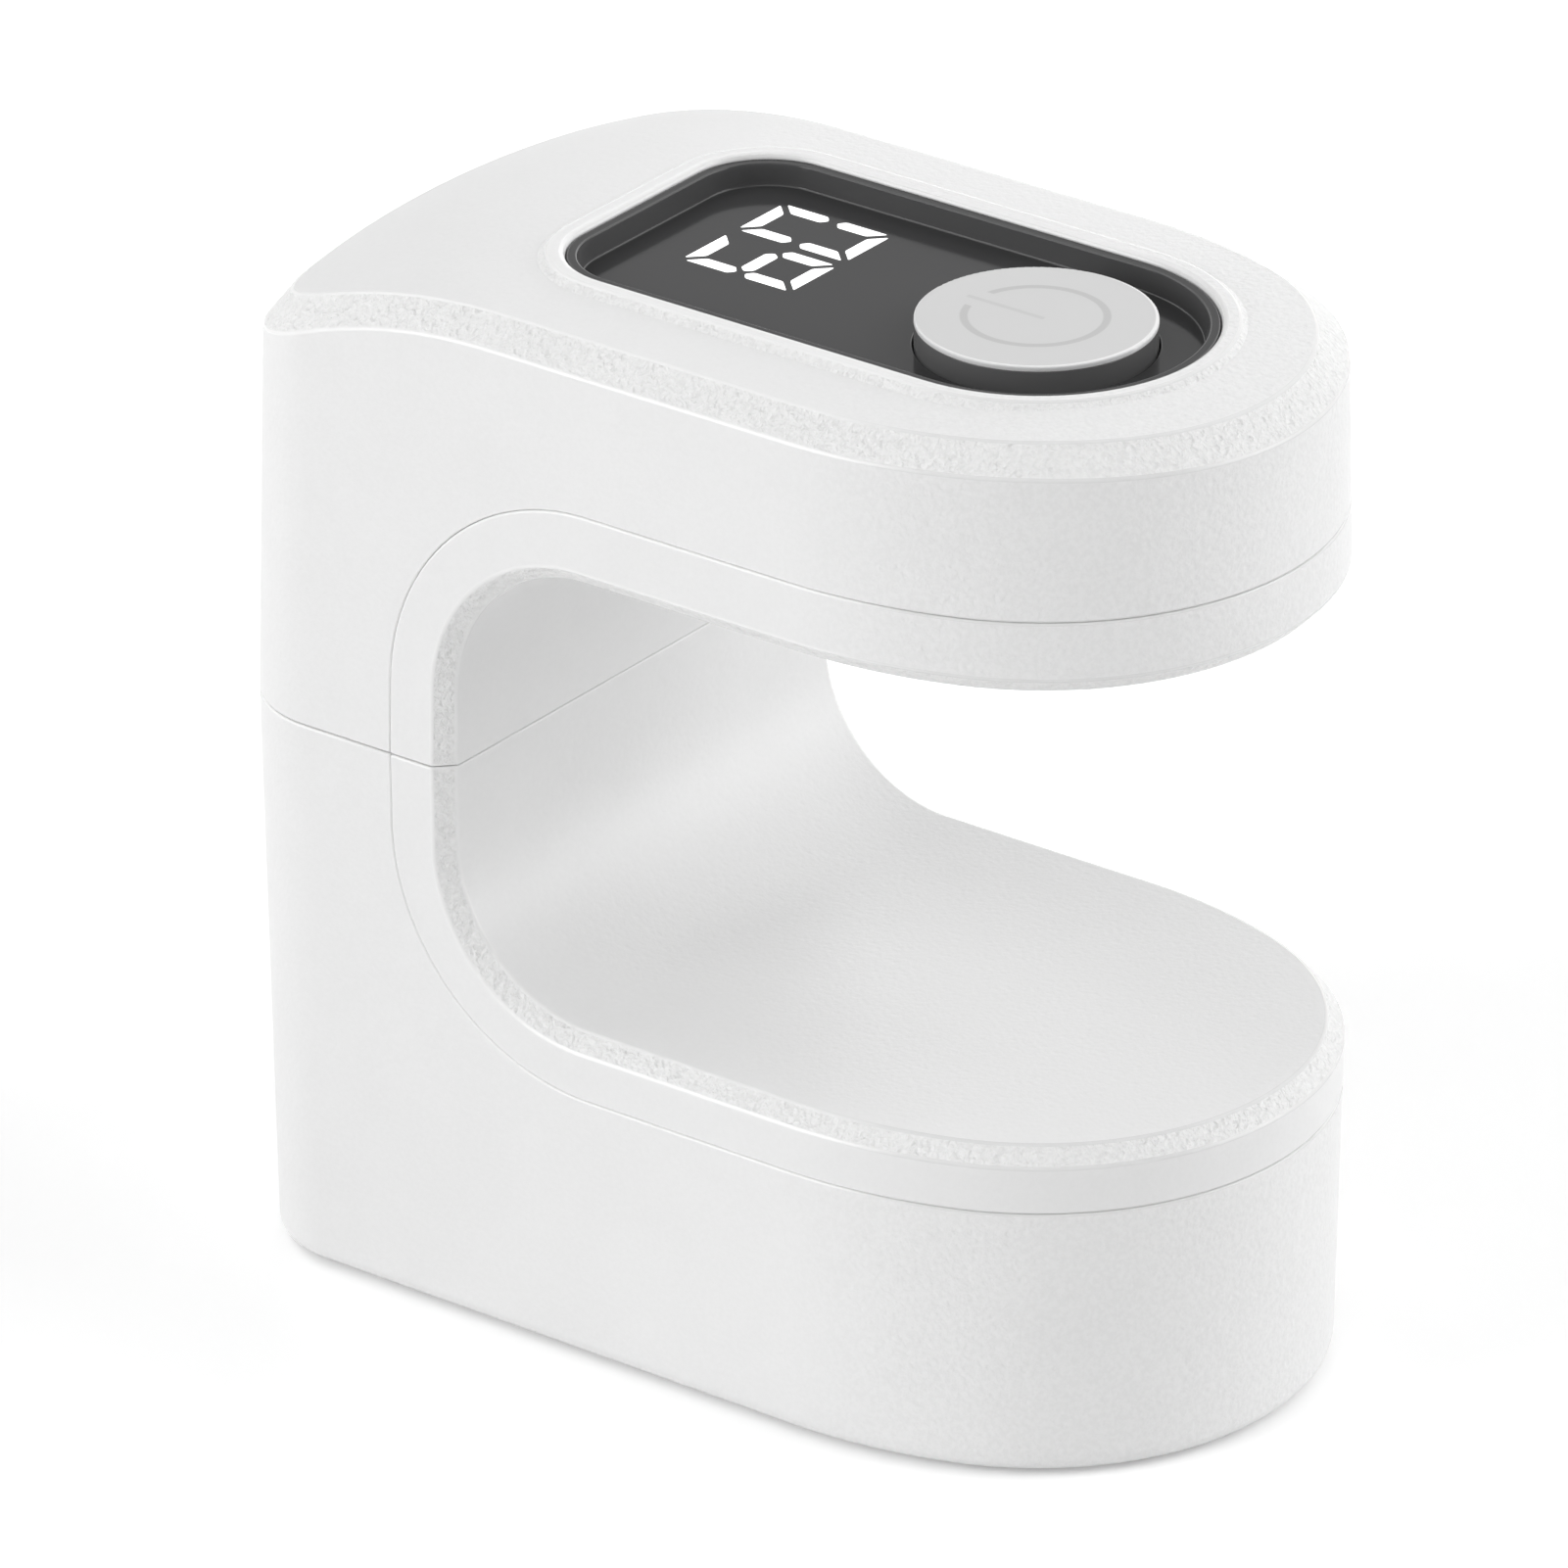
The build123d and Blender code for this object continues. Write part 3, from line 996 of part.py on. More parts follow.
def battery_leads():
    """Two short leads from the cell's rear end to the charging board."""
    half = CELL_LEAD_SPACING / 2
    return [rod_along_y(x, CELL_LEAD_Z, CELL_BACK, CHARGE_BOARD_FRONT, LEAD_RADIUS) for x in (-half, half)]


NODES = [
    upper_shell, lower_shell, upper_liner, lower_liner, display_window, window_gasket, button_cap,
    button_skirt, tact_switch, switch_plunger, display_module, control_board, control_board_screws,
    board_link, led_board, led_board_screws, uv_leds, reflector, led_lens, head_screws,
    column_screws, base_screws, rubber_feet, battery_cell, battery_strap, battery_strap_screws,
    battery_leads, charge_board, charge_board_screws, usb_port, usb_tongue, power_leads,
]


def main():
    """Write one STEP file per node."""
    os.makedirs("parts", exist_ok=True)
    for make in NODES:
        made = make()
        if isinstance(made, list):
            made = Compound(children=made)
        made.label = make.__name__
        export_step(made, f"parts/{make.__name__}.step")


main()
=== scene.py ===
"""Portable nail lamp: the visible pieces, their finishes and a plain stage, made over the fixed frame."""

import json
import math

import bmesh
import bpy
from bpy.props import FloatProperty, FloatVectorProperty, IntProperty, PointerProperty
from mathutils import Matrix, Vector
from mathutils.bvhtree import BVHTree

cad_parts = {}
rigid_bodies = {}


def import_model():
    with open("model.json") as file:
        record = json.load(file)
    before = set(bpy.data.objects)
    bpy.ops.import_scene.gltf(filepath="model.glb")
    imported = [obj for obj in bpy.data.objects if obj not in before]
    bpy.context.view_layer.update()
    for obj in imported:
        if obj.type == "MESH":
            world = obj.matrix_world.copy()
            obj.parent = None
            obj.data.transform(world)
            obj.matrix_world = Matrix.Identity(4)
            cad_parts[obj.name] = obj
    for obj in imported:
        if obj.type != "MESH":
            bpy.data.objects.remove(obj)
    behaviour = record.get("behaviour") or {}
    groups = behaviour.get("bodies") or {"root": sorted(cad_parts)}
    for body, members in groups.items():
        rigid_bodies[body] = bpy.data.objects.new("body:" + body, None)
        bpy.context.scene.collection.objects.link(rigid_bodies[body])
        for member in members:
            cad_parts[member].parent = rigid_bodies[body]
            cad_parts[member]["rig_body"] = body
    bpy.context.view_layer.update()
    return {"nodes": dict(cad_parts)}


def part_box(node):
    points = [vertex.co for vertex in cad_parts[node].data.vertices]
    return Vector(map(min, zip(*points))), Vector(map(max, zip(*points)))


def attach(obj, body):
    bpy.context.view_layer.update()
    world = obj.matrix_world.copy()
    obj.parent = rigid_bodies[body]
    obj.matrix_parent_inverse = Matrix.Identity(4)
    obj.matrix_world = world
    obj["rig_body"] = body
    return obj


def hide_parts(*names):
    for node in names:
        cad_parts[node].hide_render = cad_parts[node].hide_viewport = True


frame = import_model()

bl_info = {
    "name": "Portable nail lamp",
    "version": (1, 0, 0),
    "blender": (4, 5, 0),
    "location": "3D View > Sidebar > Nail Lamp",
    "description": "Builds a small C-shaped ultraviolet nail lamp, piece by piece, over its packed CAD frame",
    "category": "Object",
}

NODES = frame["nodes"]
MM = 0.001

# Axes and sides of a box
ALONG, UPRIGHT = 1, 2
LOW, HIGH = 0, 1

# What counts as one place, one plane, level, sharp or open in a CAD mesh
MERGE_REACH = 0.001 * MM
FLAT_ANGLE = math.radians(0.05)
LEVEL_FACE = 0.95
SHARP_EDGE = math.radians(20.0)
SOFT_EDGE = math.radians(26.0)
ROUND_PIECE_EDGE = math.radians(28.0)
EMITTER_EDGE = math.radians(30.0)
STEEP_EDGE = math.radians(40.0)
SHORT_EDGE = 0.22 * MM
OPEN_START = 0.01 * MM
OPEN_REACH = 150.0 * MM

# Floor of the window: how level it is, and how far at least it lies below the rim
FLAT_FLOOR = 0.999
RIM_DEPTH = 1.0 * MM

# Chamfers of the housing: how far their faces look up and sideways, and where they lie
CHAMFER_RISE = (0.3, 0.93)
CHAMFER_TURN = 0.25
MOUTH_CHAMFER_TURN = (0.4, 0.9)
NOSE_SIDE = -15.0 * MM
COLUMN_SIDE = 0.0
BOTTOM_ROUNDING = 8.0 * MM

# Seams: how near the neighbour is, how alike two pushes of a corner may be, and how far a face moves
SEAM_REACH = 0.14 * MM
SAME_WAY = 0.8
MIDDLE_SEAM_GROWTH = 0.02 * MM
HEAD_SEAM_GROWTH = 0.047 * MM
BASE_SEAM_GROWTH = 0.05 * MM

# Length of the lit bars' points, against half a bar
BAR_POINT = 0.8

# Rounding of the small pieces' edges
CAP_EDGE = 0.05 * MM
SKIRT_EDGE = 0.08 * MM
PORT_EDGE = 0.05 * MM

# Spark texture: where it turns coarser, in millimetres, and its strength elsewhere
NOSE_FADE = (-26.0, -10.0)
HEAD_FADE = (50.0, 55.0)
FAINT_SHELL_GRAIN = 0.35
FAINT_LINER_GRAIN = 0.3

# Size of the pits in the spark texture, against its grain
PIT_SIZE = 2.0

# Finishes, in millimetres: size of the clouds, half the fade of the painted shade on the nose's edges,
# softness of the print
CLOUD_SIZE = 9.0
EDGE_SHADE_FADE = 6.0
PRINT_SOFTNESS = 0.08

# Lamps of the stage: azimuth from +X towards +Y, elevation and spread, in degrees
LAMPS = {
    "right": (0.0, 20.0, 80.0),
    "left": (180.0, 55.0, 80.0),
    "back_left": (150.0, 15.0, 35.0),
    "front_right": (300.0, 15.0, 42.0),
    "front_high": (300.0, 45.0, 35.0),
    "back": (90.0, 45.0, 35.0),
}
LAMP_DISTANCE = 2.0

# Floor and camera: reach in metres, size in millimetres and darkest share of the floor's tooth
FLOOR_REACH = 6.0
FLOOR_TOOTH = 1.5
FLOOR_SHADE = 0.995
SENSOR_WIDTH = 36.0
CLIP_REACH = (0.05, 20.0)


def operator_for(operation, swapped=False):
    """The method of one operator, which adds the Math node that it stands for."""
    if swapped:
        return lambda flow, other: flow.wiring.math(operation, other, flow)
    return lambda flow, other: flow.wiring.math(operation, flow, other)


class Flow:
    """An output socket that takes part in sums."""

    def __init__(self, wiring, socket):
        self.wiring = wiring
        self.socket = socket

    __add__, __radd__ = operator_for("ADD"), operator_for("ADD", swapped=True)
    __sub__, __rsub__ = operator_for("SUBTRACT"), operator_for("SUBTRACT", swapped=True)
    __mul__, __rmul__ = operator_for("MULTIPLY"), operator_for("MULTIPLY", swapped=True)
    __pow__ = operator_for("POWER")

    def __abs__(self):
        return self.wiring.math("ABSOLUTE", self)


class Wiring:
    """A node tree and the one way in which nodes are added to it."""

    def __init__(self, tree):
        self.tree = tree
        self.tree.nodes.clear()

    def node(self, kind, settings=None, values=None, output=0):
        """Adds a node: its settings first, then values or links for its sockets; returns one output."""
        made = self.tree.nodes.new(kind)
        for name, value in (settings or {}).items():
            setattr(made, name, value)
        for name, value in (values or {}).items():
            for part in value if isinstance(value, list) else [value]:
                if isinstance(part, Flow):
                    self.tree.links.new(part.socket, made.inputs[name])
                else:
                    made.inputs[name].default_value = part
        return Flow(self, made.outputs[output]) if len(made.outputs) else made

    def math(self, operation, first, second=None, clamp=False):
        """Adds a Math node on one or two values."""
        values = {0: first} if second is None else {0: first, 1: second}
        return self.node("ShaderNodeMath", {"operation": operation, "use_clamp": clamp}, values)


class Finish(Wiring):
    """A procedural material that reads Object coordinates in millimetres."""

    def __init__(self, name):
        self.material = bpy.data.materials.new(name)
        self.material.use_nodes = True
        super().__init__(self.material.node_tree)
        place = self.node("ShaderNodeTexCoord", output="Object")
        scale = {"operation": "SCALE"}
        self.place = self.node("ShaderNodeVectorMath", scale, {"Vector": place, "Scale": 1.0 / MM})

    def noise(self, size, detail=2.0, roughness=0.5, stretch=None):
        """Cloudy values from 0 to 1 whose features are about size millimetres across."""
        place = self.place
        if stretch:
            place = self.node("ShaderNodeMapping", values={"Vector": place, "Scale": stretch})
        values = {"Vector": place, "Scale": 1.0 / size, "Detail": detail, "Roughness": roughness}
        return self.node("ShaderNodeTexNoise", values=values)

    def cells(self, size, feature="F1"):
        """Cells about size millimetres across."""
        values = {"Vector": self.place, "Scale": 1.0 / size}
        return self.node("ShaderNodeTexVoronoi", {"feature": feature}, values, "Distance")

    def axes(self):
        """The three parts of the place, in millimetres."""
        split = self.node("ShaderNodeSeparateXYZ", values={"Vector": self.place})
        outputs = split.socket.node.outputs
        return [Flow(self, outputs[name]) for name in "XYZ"]

    def step(self, value, low, high):
        """A smooth step from 0 below low to 1 above high."""
        settings = {"interpolation_type": "SMOOTHSTEP"}
        return self.node("ShaderNodeMapRange", settings, {"Value": value, "From Min": low, "From Max": high})

    def blend(self, mask, low, high):
        """A colour between two, by a mask from 0 to 1."""
        settings = {"data_type": "RGBA"}
        return self.node("ShaderNodeMix", settings, {0: mask, 6: colour(low), 7: colour(high)}, 2)

    def bump(self, height, reach):
        """A normal from a height from 0 to 1, where 1 is reach millimetres."""
        return self.node("ShaderNodeBump", values={"Height": height, "Distance": reach * MM, "Strength": 1.0})

    def close(self, **values):
        """Ends the material in a Principled shader with these values, and returns it."""
        named = {name.replace("_", " "): value for name, value in values.items()}
        shader = self.node("ShaderNodeBsdfPrincipled", values=named)
        self.node("ShaderNodeOutputMaterial", values={"Surface": shader})
        return self.material


def colour(value):
    """A colour with its alpha, from a grey level or three values; a link stays as it is."""
    if isinstance(value, Flow):
        return value
    if isinstance(value, (int, float)):
        return (value, value, value, 1.0)
    return (*value[:3], 1.0)


def moulded(name, tone, grain, depth, mottle, roughness=0.45, coarse=None):
    """Moulded plastic with a spark texture, faint mottling and slightly uneven gloss.

    The function coarse says, from the finish, how strong the texture is at each place.
    """
    finish = Finish(name)
    share = coarse(finish) if coarse else 1.0
    clouds = finish.noise(CLOUD_SIZE, detail=3.0)
    sparks = finish.noise(grain, roughness=0.6)
    pits = finish.step(finish.cells(PIT_SIZE * grain), 0.1, 0.5)
    relief = (0.75 * sparks + 0.25 * pits) * share
    dark = [part * (1.0 - 2.0 * mottle) for part in tone]
    light = [min(1.0, part * (1.0 + 2.0 * mottle)) for part in tone]
    speckle = (finish.step(sparks, 0.35, 0.65) - 0.5) * share
    mask = finish.math("ADD", 0.25 + 0.5 * clouds, 0.5 * speckle, clamp=True)
    return finish.close(
        Base_Color=finish.blend(mask, dark, light),
        Roughness=roughness + 0.10 * (clouds - 0.5) + 0.12 * (sparks - 0.5),
        Normal=finish.bump(relief, depth),
    )


def glossy(name, tone, roughness, specular):
    """Polished plastic with a hair of orange peel and faint wiping haze."""
    finish = Finish(name)
    peel = finish.noise(2.2, detail=1.0)
    haze = finish.noise(14.0, detail=4.0, roughness=0.6)
    dust = finish.step(finish.noise(0.35, detail=1.0), 0.62, 0.8)
    pale = [part + 0.004 for part in tone]
    return finish.close(
        Base_Color=finish.blend(0.4 * haze + 0.3 * dust, tone, pale),
        Roughness=roughness + 0.03 * haze + 0.03 * dust,
        Specular_IOR_Level=specular,
        Normal=finish.bump(peel, 0.0006),
    )


def steel(name, tone, roughness, brush):
    """Plated metal with fine lines along one axis and slight tarnish."""
    finish = Finish(name)
    lines = finish.noise(0.3, detail=3.0, stretch=brush)
    tarnish = finish.noise(2.5, detail=4.0, roughness=0.65)
    dull = [part * 0.72 for part in tone]
    return finish.close(
        Base_Color=finish.blend(tarnish, dull, tone),
        Metallic=1.0,
        Roughness=roughness + 0.16 * (lines - 0.5) + 0.12 * (tarnish - 0.5),
        Normal=finish.bump(lines, 0.002),
    )


def nose_grain(finish):
    """Strength of the spark texture on the shells: coarser round the nose."""
    along = finish.axes()[1]
    return 1.0 - (1.0 - FAINT_SHELL_GRAIN) * finish.step(along, *NOSE_FADE)


def liner_grain(finish):
    """Strength of the spark texture on the liners: coarser round the nose of the head."""
    _, along, height = finish.axes()
    nose = (1.0 - FAINT_LINER_GRAIN) * (1.0 - finish.step(along, *NOSE_FADE))
    return FAINT_LINER_GRAIN + nose * finish.step(height, *HEAD_FADE)


def housing_white(name, tone, depth, mottle, **more):
    """White spark-textured plastic of the housing."""
    grain = bpy.context.scene.lamp_plastic.grain_size
    return moulded(name, tone, grain=grain / MM, depth=depth / MM, mottle=mottle, **more)


def shell_plastic():
    """Plastic of the two outer shells."""
    look = bpy.context.scene.lamp_plastic
    return housing_white(
        "shell_white", look.shell_colour, look.grain_depth, look.grain_mottle, coarse=nose_grain)


def liner_plastic():
    """Plastic of the two liners, a shade smoother than the shells."""
    look = bpy.context.scene.lamp_plastic
    return housing_white(
        "liner_white", look.liner_colour, look.grain_depth, look.grain_mottle,
        roughness=0.42, coarse=liner_grain)


def chamfer_plastic():
    """Plastic of the chamfers, where the spark texture is deeper and catches the light; their colour is a
    lighter copy of the shells' white, as painted light.
    """
    look = bpy.context.scene.lamp_plastic
    return housing_white(
        "chamfer_white", look.chamfer_lit_colour, look.chamfer_depth, look.chamfer_mottle, roughness=0.4)


def shell_edge():
    """Smooth plastic of the housing's rounded edges, polished by handling, with a painted highlight that
    makes them lighter than the shells and painted shade that makes them darker round the nose.
    """
    look = bpy.context.scene.lamp_plastic
    finish = Finish("edge_white")
    along = finish.axes()[1]
    middle = look.nose_reach / MM
    # Painted light: a painted highlight on the edges behind the nose, and painted shade on the edges round it
    rear = finish.step(along, middle - EDGE_SHADE_FADE, middle + EDGE_SHADE_FADE)
    clouds = finish.noise(CLOUD_SIZE, detail=3.0)
    grain = finish.noise(0.5, detail=1.0)
    return finish.close(
        Base_Color=finish.blend(rear, look.nose_edge_shade_colour, look.edge_highlight_colour),
        Roughness=look.edge_roughness + 0.06 * (clouds - 0.5),
        Normal=finish.bump(grain, 0.004),
    )


def window_plastic():
    """Smoked glossy plastic of the display window."""
    look = bpy.context.scene.lamp_window
    return glossy("window_smoke", look.colour, look.roughness, look.specular)


def window_side():
    """Smoked plastic of the tray's walls, painted a shade paler than its floor to lift the shade in the tray:
    painted light.
    """
    look = bpy.context.scene.lamp_window
    return glossy("window_side_smoke", look.side_lit_colour, look.roughness, look.specular)


def window_edge():
    """Polished edges of the smoked window."""
    look = bpy.context.scene.lamp_window
    return glossy("window_edge_smoke", look.colour, look.roughness, look.edge_specular)


def gasket_foam():
    """Black closed-cell foam under the window."""
    return moulded("gasket_foam", (0.03, 0.03, 0.032), roughness=0.85, grain=0.35, depth=0.05, mottle=0.1)


def button_plastic():
    """Light plastic of the button's cap, with the printed ring and line, and a painted highlight along its
    rounded rim.
    """
    look = bpy.context.scene.lamp_button
    finish = Finish("button_light")
    across, along, _ = finish.axes()
    along = along - look.centre_y / MM
    radius = (across * across + along * along) ** 0.5
    half = look.mark_width / MM / 2.0
    soft = PRINT_SOFTNESS
    thin = look.line_width / MM / 2.0
    gap = look.mark_gap / MM
    ring = 1.0 - finish.step(abs(radius - look.mark_radius / MM), half - soft, half + soft)
    opening = finish.step(along, 0.0, soft) * (1.0 - finish.step(abs(across), gap, gap + soft))
    ring = ring * (1.0 - opening)
    low, high = look.line_start / MM, look.line_end / MM
    line = 1.0 - finish.step(abs(across), thin - soft, thin + soft)
    line = line * finish.step(along, low - soft, low + soft)
    line = line * (1.0 - finish.step(along, high - soft, high + soft))
    mark = finish.math("MAXIMUM", ring, 0.6 * line)
    # Painted highlight: the cap is lighter beyond this radius, along its rounded rim
    rim = finish.step(radius, look.rim_highlight_radius / MM - soft, look.rim_highlight_radius / MM + soft)
    sparks = finish.noise(0.12)
    clouds = finish.noise(6.0, detail=3.0)
    face = finish.blend(clouds, [0.97 * part for part in look.cap_colour], look.cap_colour)
    ink = [look.mark_level * part for part in look.cap_colour]
    return finish.close(
        Base_Color=finish.blend(rim, finish.blend(mark, face, ink), look.rim_highlight_colour),
        Roughness=0.36 + 0.08 * (sparks - 0.5) + 0.12 * mark,
        Specular_IOR_Level=0.3,
        Normal=finish.bump(sparks, 0.002),
    )


def skirt_plastic():
    """Dark polished plastic of the button's body, painted paler than the plastic itself to stand in for the
    reflections on its side: painted reflection.
    """
    return glossy("skirt_dark", bpy.context.scene.lamp_button.skirt_lit_colour, 0.2, 0.4)


def switch_black():
    """Matt black plastic of the tactile switch."""
    return moulded("switch_black", (0.02, 0.02, 0.021), roughness=0.55, grain=0.1, depth=0.003, mottle=0.05)


def display_black():
    """Dark face of the display."""
    return moulded("display_black", (0.015, 0.015, 0.016), roughness=0.4, grain=0.2, depth=0.002, mottle=0.08)


def circuit_green():
    """Solder mask over copper: tracks, pads and a slight gloss."""
    finish = Finish("circuit_green")
    edges = finish.cells(3.6, feature="DISTANCE_TO_EDGE")
    tracks = 1.0 - finish.step(edges, 0.05, 0.08)
    pads = 1.0 - finish.step(finish.cells(2.4), 0.14, 0.17)
    weave = finish.noise(0.5)
    mask = finish.blend(tracks, (0.012, 0.085, 0.035), (0.022, 0.14, 0.055))
    return finish.close(
        Base_Color=finish.blend(pads, mask, (0.62, 0.6, 0.55)),
        Metallic=pads,
        Roughness=0.32 + 0.1 * weave,
        Normal=finish.bump(0.7 * tracks + 0.3 * weave, 0.02),
    )


def board_white():
    """White solder mask of the aluminium light board, with its copper areas showing through faintly."""
    finish = Finish("board_white")
    areas = finish.step(finish.cells(6.0, feature="DISTANCE_TO_EDGE"), 0.04, 0.07)
    weave = finish.noise(0.4)
    return finish.close(
        Base_Color=finish.blend(areas, (0.7, 0.7, 0.68), (0.82, 0.82, 0.81)),
        Roughness=0.35 + 0.1 * weave,
        Normal=finish.bump(areas, 0.02),
    )


def emitter_body():
    """White ceramic of the emitters."""
    return moulded("emitter_ceramic", (0.8, 0.79, 0.76), roughness=0.5, grain=0.08, depth=0.002, mottle=0.03)


def emitter_dome():
    """Yellowish silicone domes of the emitters."""
    finish = Finish("emitter_silicone")
    clouds = finish.noise(0.8)
    return finish.close(
        Base_Color=finish.blend(clouds, (0.62, 0.5, 0.12), (0.75, 0.66, 0.26)),
        Roughness=0.12 + 0.05 * clouds,
        Coat_Weight=0.6,
        Normal=finish.bump(clouds, 0.01),
    )


def reflector_bright():
    """Vacuum-plated plastic of the reflector."""
    return steel("reflector_plate", (0.86, 0.86, 0.87), roughness=0.14, brush=(1.0, 1.0, 1.0))


def lens_clear():
    """Clear cover of the light unit, faintly frosted."""
    finish = Finish("lens_clear")
    frost = finish.noise(0.3)
    clouds = finish.noise(7.0)
    return finish.close(
        Base_Color=finish.blend(clouds, 0.93, 0.97),
        Roughness=0.12 + 0.08 * frost,
        IOR=1.49,
        Transmission_Weight=0.85,
        Normal=finish.bump(frost, 0.002),
    )


def screw_steel():
    """Zinc-plated steel of the screws."""
    return steel("screw_steel", (0.58, 0.58, 0.57), roughness=0.3, brush=(1.0, 1.0, 1.0))


def foot_rubber():
    """Dark grey rubber of the feet, slightly dusty."""
    finish = Finish("foot_rubber")
    dust = finish.noise(1.6, detail=5.0, roughness=0.65)
    pores = finish.noise(0.15)
    return finish.close(
        Base_Color=finish.blend(dust, (0.055, 0.055, 0.057), (0.11, 0.11, 0.112)),
        Roughness=0.75 + 0.15 * dust,
        Normal=finish.bump(pores, 0.008),
    )


def cell_wrap():
    """Shrink wrap of the cell, with fine wrinkles round it."""
    finish = Finish("cell_wrap")
    wrinkles = finish.noise(1.2, detail=3.0, stretch=(1.0, 0.25, 1.0))
    clouds = finish.noise(8.0)
    return finish.close(
        Base_Color=finish.blend(clouds, (0.02, 0.16, 0.3), (0.03, 0.22, 0.38)),
        Roughness=0.28 + 0.1 * wrinkles,
        Normal=finish.bump(wrinkles, 0.03),
    )


def strap_plastic():
    """Black glass-filled plastic of the cell's strap."""
    return moulded("strap_black", (0.03, 0.03, 0.03), roughness=0.5, grain=0.25, depth=0.01, mottle=0.08)


def lead_red():
    """Soft insulation of the leads."""
    return moulded("lead_red", (0.5, 0.02, 0.02), roughness=0.4, grain=0.3, depth=0.004, mottle=0.05)


def connector_white():
    """Nylon of the link between the boards."""
    return moulded("connector_white", (0.78, 0.77, 0.72), roughness=0.5, grain=0.2, depth=0.005, mottle=0.03)


def port_steel():
    """Drawn steel of the socket's shell."""
    return steel("port_steel", (0.66, 0.66, 0.67), roughness=0.24, brush=(1.0, 0.2, 1.0))


def port_black():
    """Black plastic of the socket's tongue."""
    return moulded("port_black", (0.02, 0.02, 0.02), roughness=0.45, grain=0.1, depth=0.002, mottle=0.06)


def contact_gold():
    """Gold-plated contacts in the socket."""
    return steel("contact_gold", (0.83, 0.6, 0.26), roughness=0.25, brush=(1.0, 0.3, 1.0))


def figure_glow():
    """White light of the lit figures, faintly uneven."""
    look = bpy.context.scene.lamp_figures
    finish = Finish("figure_glow")
    clouds = finish.noise(1.5, detail=1.0)
    return finish.close(
        Base_Color=finish.blend(clouds, 0.75, 0.8),
        Roughness=0.4 + 0.1 * clouds,
        Emission_Color=finish.blend(clouds, 0.96, 1.0),
        Emission_Strength=look.strength,
    )


# The finish of each material slot: most functions have their slot's name
FINISHES = {make.__name__: make for make in (
    shell_plastic, liner_plastic, window_plastic, gasket_foam, button_plastic, skirt_plastic, switch_black,
    display_black, screw_steel, connector_white, reflector_bright, lens_clear, foot_rubber, cell_wrap,
    strap_plastic, lead_red, port_steel, port_black)}
FINISHES.update(board_green=circuit_green, board_aluminium=board_white, led_lens_yellow=emitter_dome)
made_finishes = {}


def finish_for(make):
    """The material that a finish's function makes, made once."""
    if make.__name__ not in made_finishes:
        made_finishes[make.__name__] = make()
    return made_finishes[make.__name__]


def slot_of(node):
    """The record's material slot of a CAD node."""
    return NODES[node].data.materials[0].name.split(".")[0]


def dress(*nodes):
    """Gives CAD nodes that stay in view their finish."""
    for node in nodes:
        slot = slot_of(node)
        for place in NODES[node].material_slots:
            place.material = finish_for(FINISHES[slot])


def link(mesh, name):
    """Puts a mesh into the scene as an object at the origin."""
    piece = bpy.data.objects.new(name, mesh)
    bpy.context.scene.collection.objects.link(piece)
    return piece


def settle(piece):
    """Applies the piece's modifiers and leaves a plain mesh."""
    bpy.context.view_layer.update()
    graph = bpy.context.evaluated_depsgraph_get()
    shown = piece.evaluated_get(graph)
    mesh = bpy.data.meshes.new_from_object(shown, preserve_all_data_layers=True, depsgraph=graph)
    mesh.name = piece.name
    piece.modifiers.clear()
    piece.data = mesh
    return piece


def soften(piece, width, segments, chosen):
    """Rounds the sharp edges a little, in the last material, and lets the large faces rule the shading.

    With chosen, only the edges that carry a bevel weight are rounded.
    """
    if not chosen:
        piece.data.shade_smooth()
    if width > 0.0:
        bevel = piece.modifiers.new("edges", "BEVEL")
        bevel.width = width
        bevel.segments = segments
        bevel.material = len(piece.data.materials) - 1
        bevel.limit_method = "WEIGHT" if chosen else "ANGLE"
        bevel.angle_limit = SOFT_EDGE
        bevel.miter_outer = "MITER_ARC"
        bevel.use_clamp_overlap = not chosen
    if chosen:
        settle(piece)
        keep_corners(piece.data)
    weighted = piece.modifiers.new("shading", "WEIGHTED_NORMAL")
    weighted.mode = "FACE_AREA_WITH_ANGLE"
    weighted.keep_sharp = True
    settle(piece)


def shade(piece):
    """Shades a round piece smooth, apart from its sharp edges."""
    piece.data.shade_smooth()
    piece.data.set_sharp_from_angle(angle=ROUND_PIECE_EDGE)


def keep_corners(mesh):
    """Marks the steep edges that weren't rounded as sharp, so that the faces beside them shade flat."""
    shape = bmesh.new()
    shape.from_mesh(mesh)
    for edge in shape.edges:
        if edge.calc_face_angle(0.0) > STEEP_EDGE:
            edge.smooth = False
    shape.to_mesh(mesh)
    shape.free()


def merged(node):
    """A closed copy of a CAD node's mesh, with its doubles merged and flat faces joined."""
    shape = bmesh.new()
    shape.from_mesh(NODES[node].data)
    bmesh.ops.remove_doubles(shape, verts=shape.verts, dist=MERGE_REACH)
    bmesh.ops.dissolve_limit(shape, angle_limit=FLAT_ANGLE, verts=shape.verts, edges=shape.edges)
    return shape


def islands(shape):
    """The separate solids in a bmesh, each as the list of its vertices."""
    left = set(shape.verts)
    found = []
    while left:
        queue = [left.pop()]
        solid = []
        while queue:
            vert = queue.pop()
            solid.append(vert)
            for edge in vert.link_edges:
                other = edge.other_vert(vert)
                if other in left:
                    left.remove(other)
                    queue.append(other)
        found.append(solid)
    return found


def solid_boxes(node):
    """Lowest and highest corner of each solid of a CAD node, in order along X, Y and Z."""
    shape = merged(node)
    boxes = []
    for solid in islands(shape):
        columns = list(zip(*(vert.co for vert in solid)))
        boxes.append([Vector([pick(column) for column in columns]) for pick in (min, max)])
    shape.free()
    return sorted(boxes, key=lambda box: [round(part, 6) for part in box[0]])


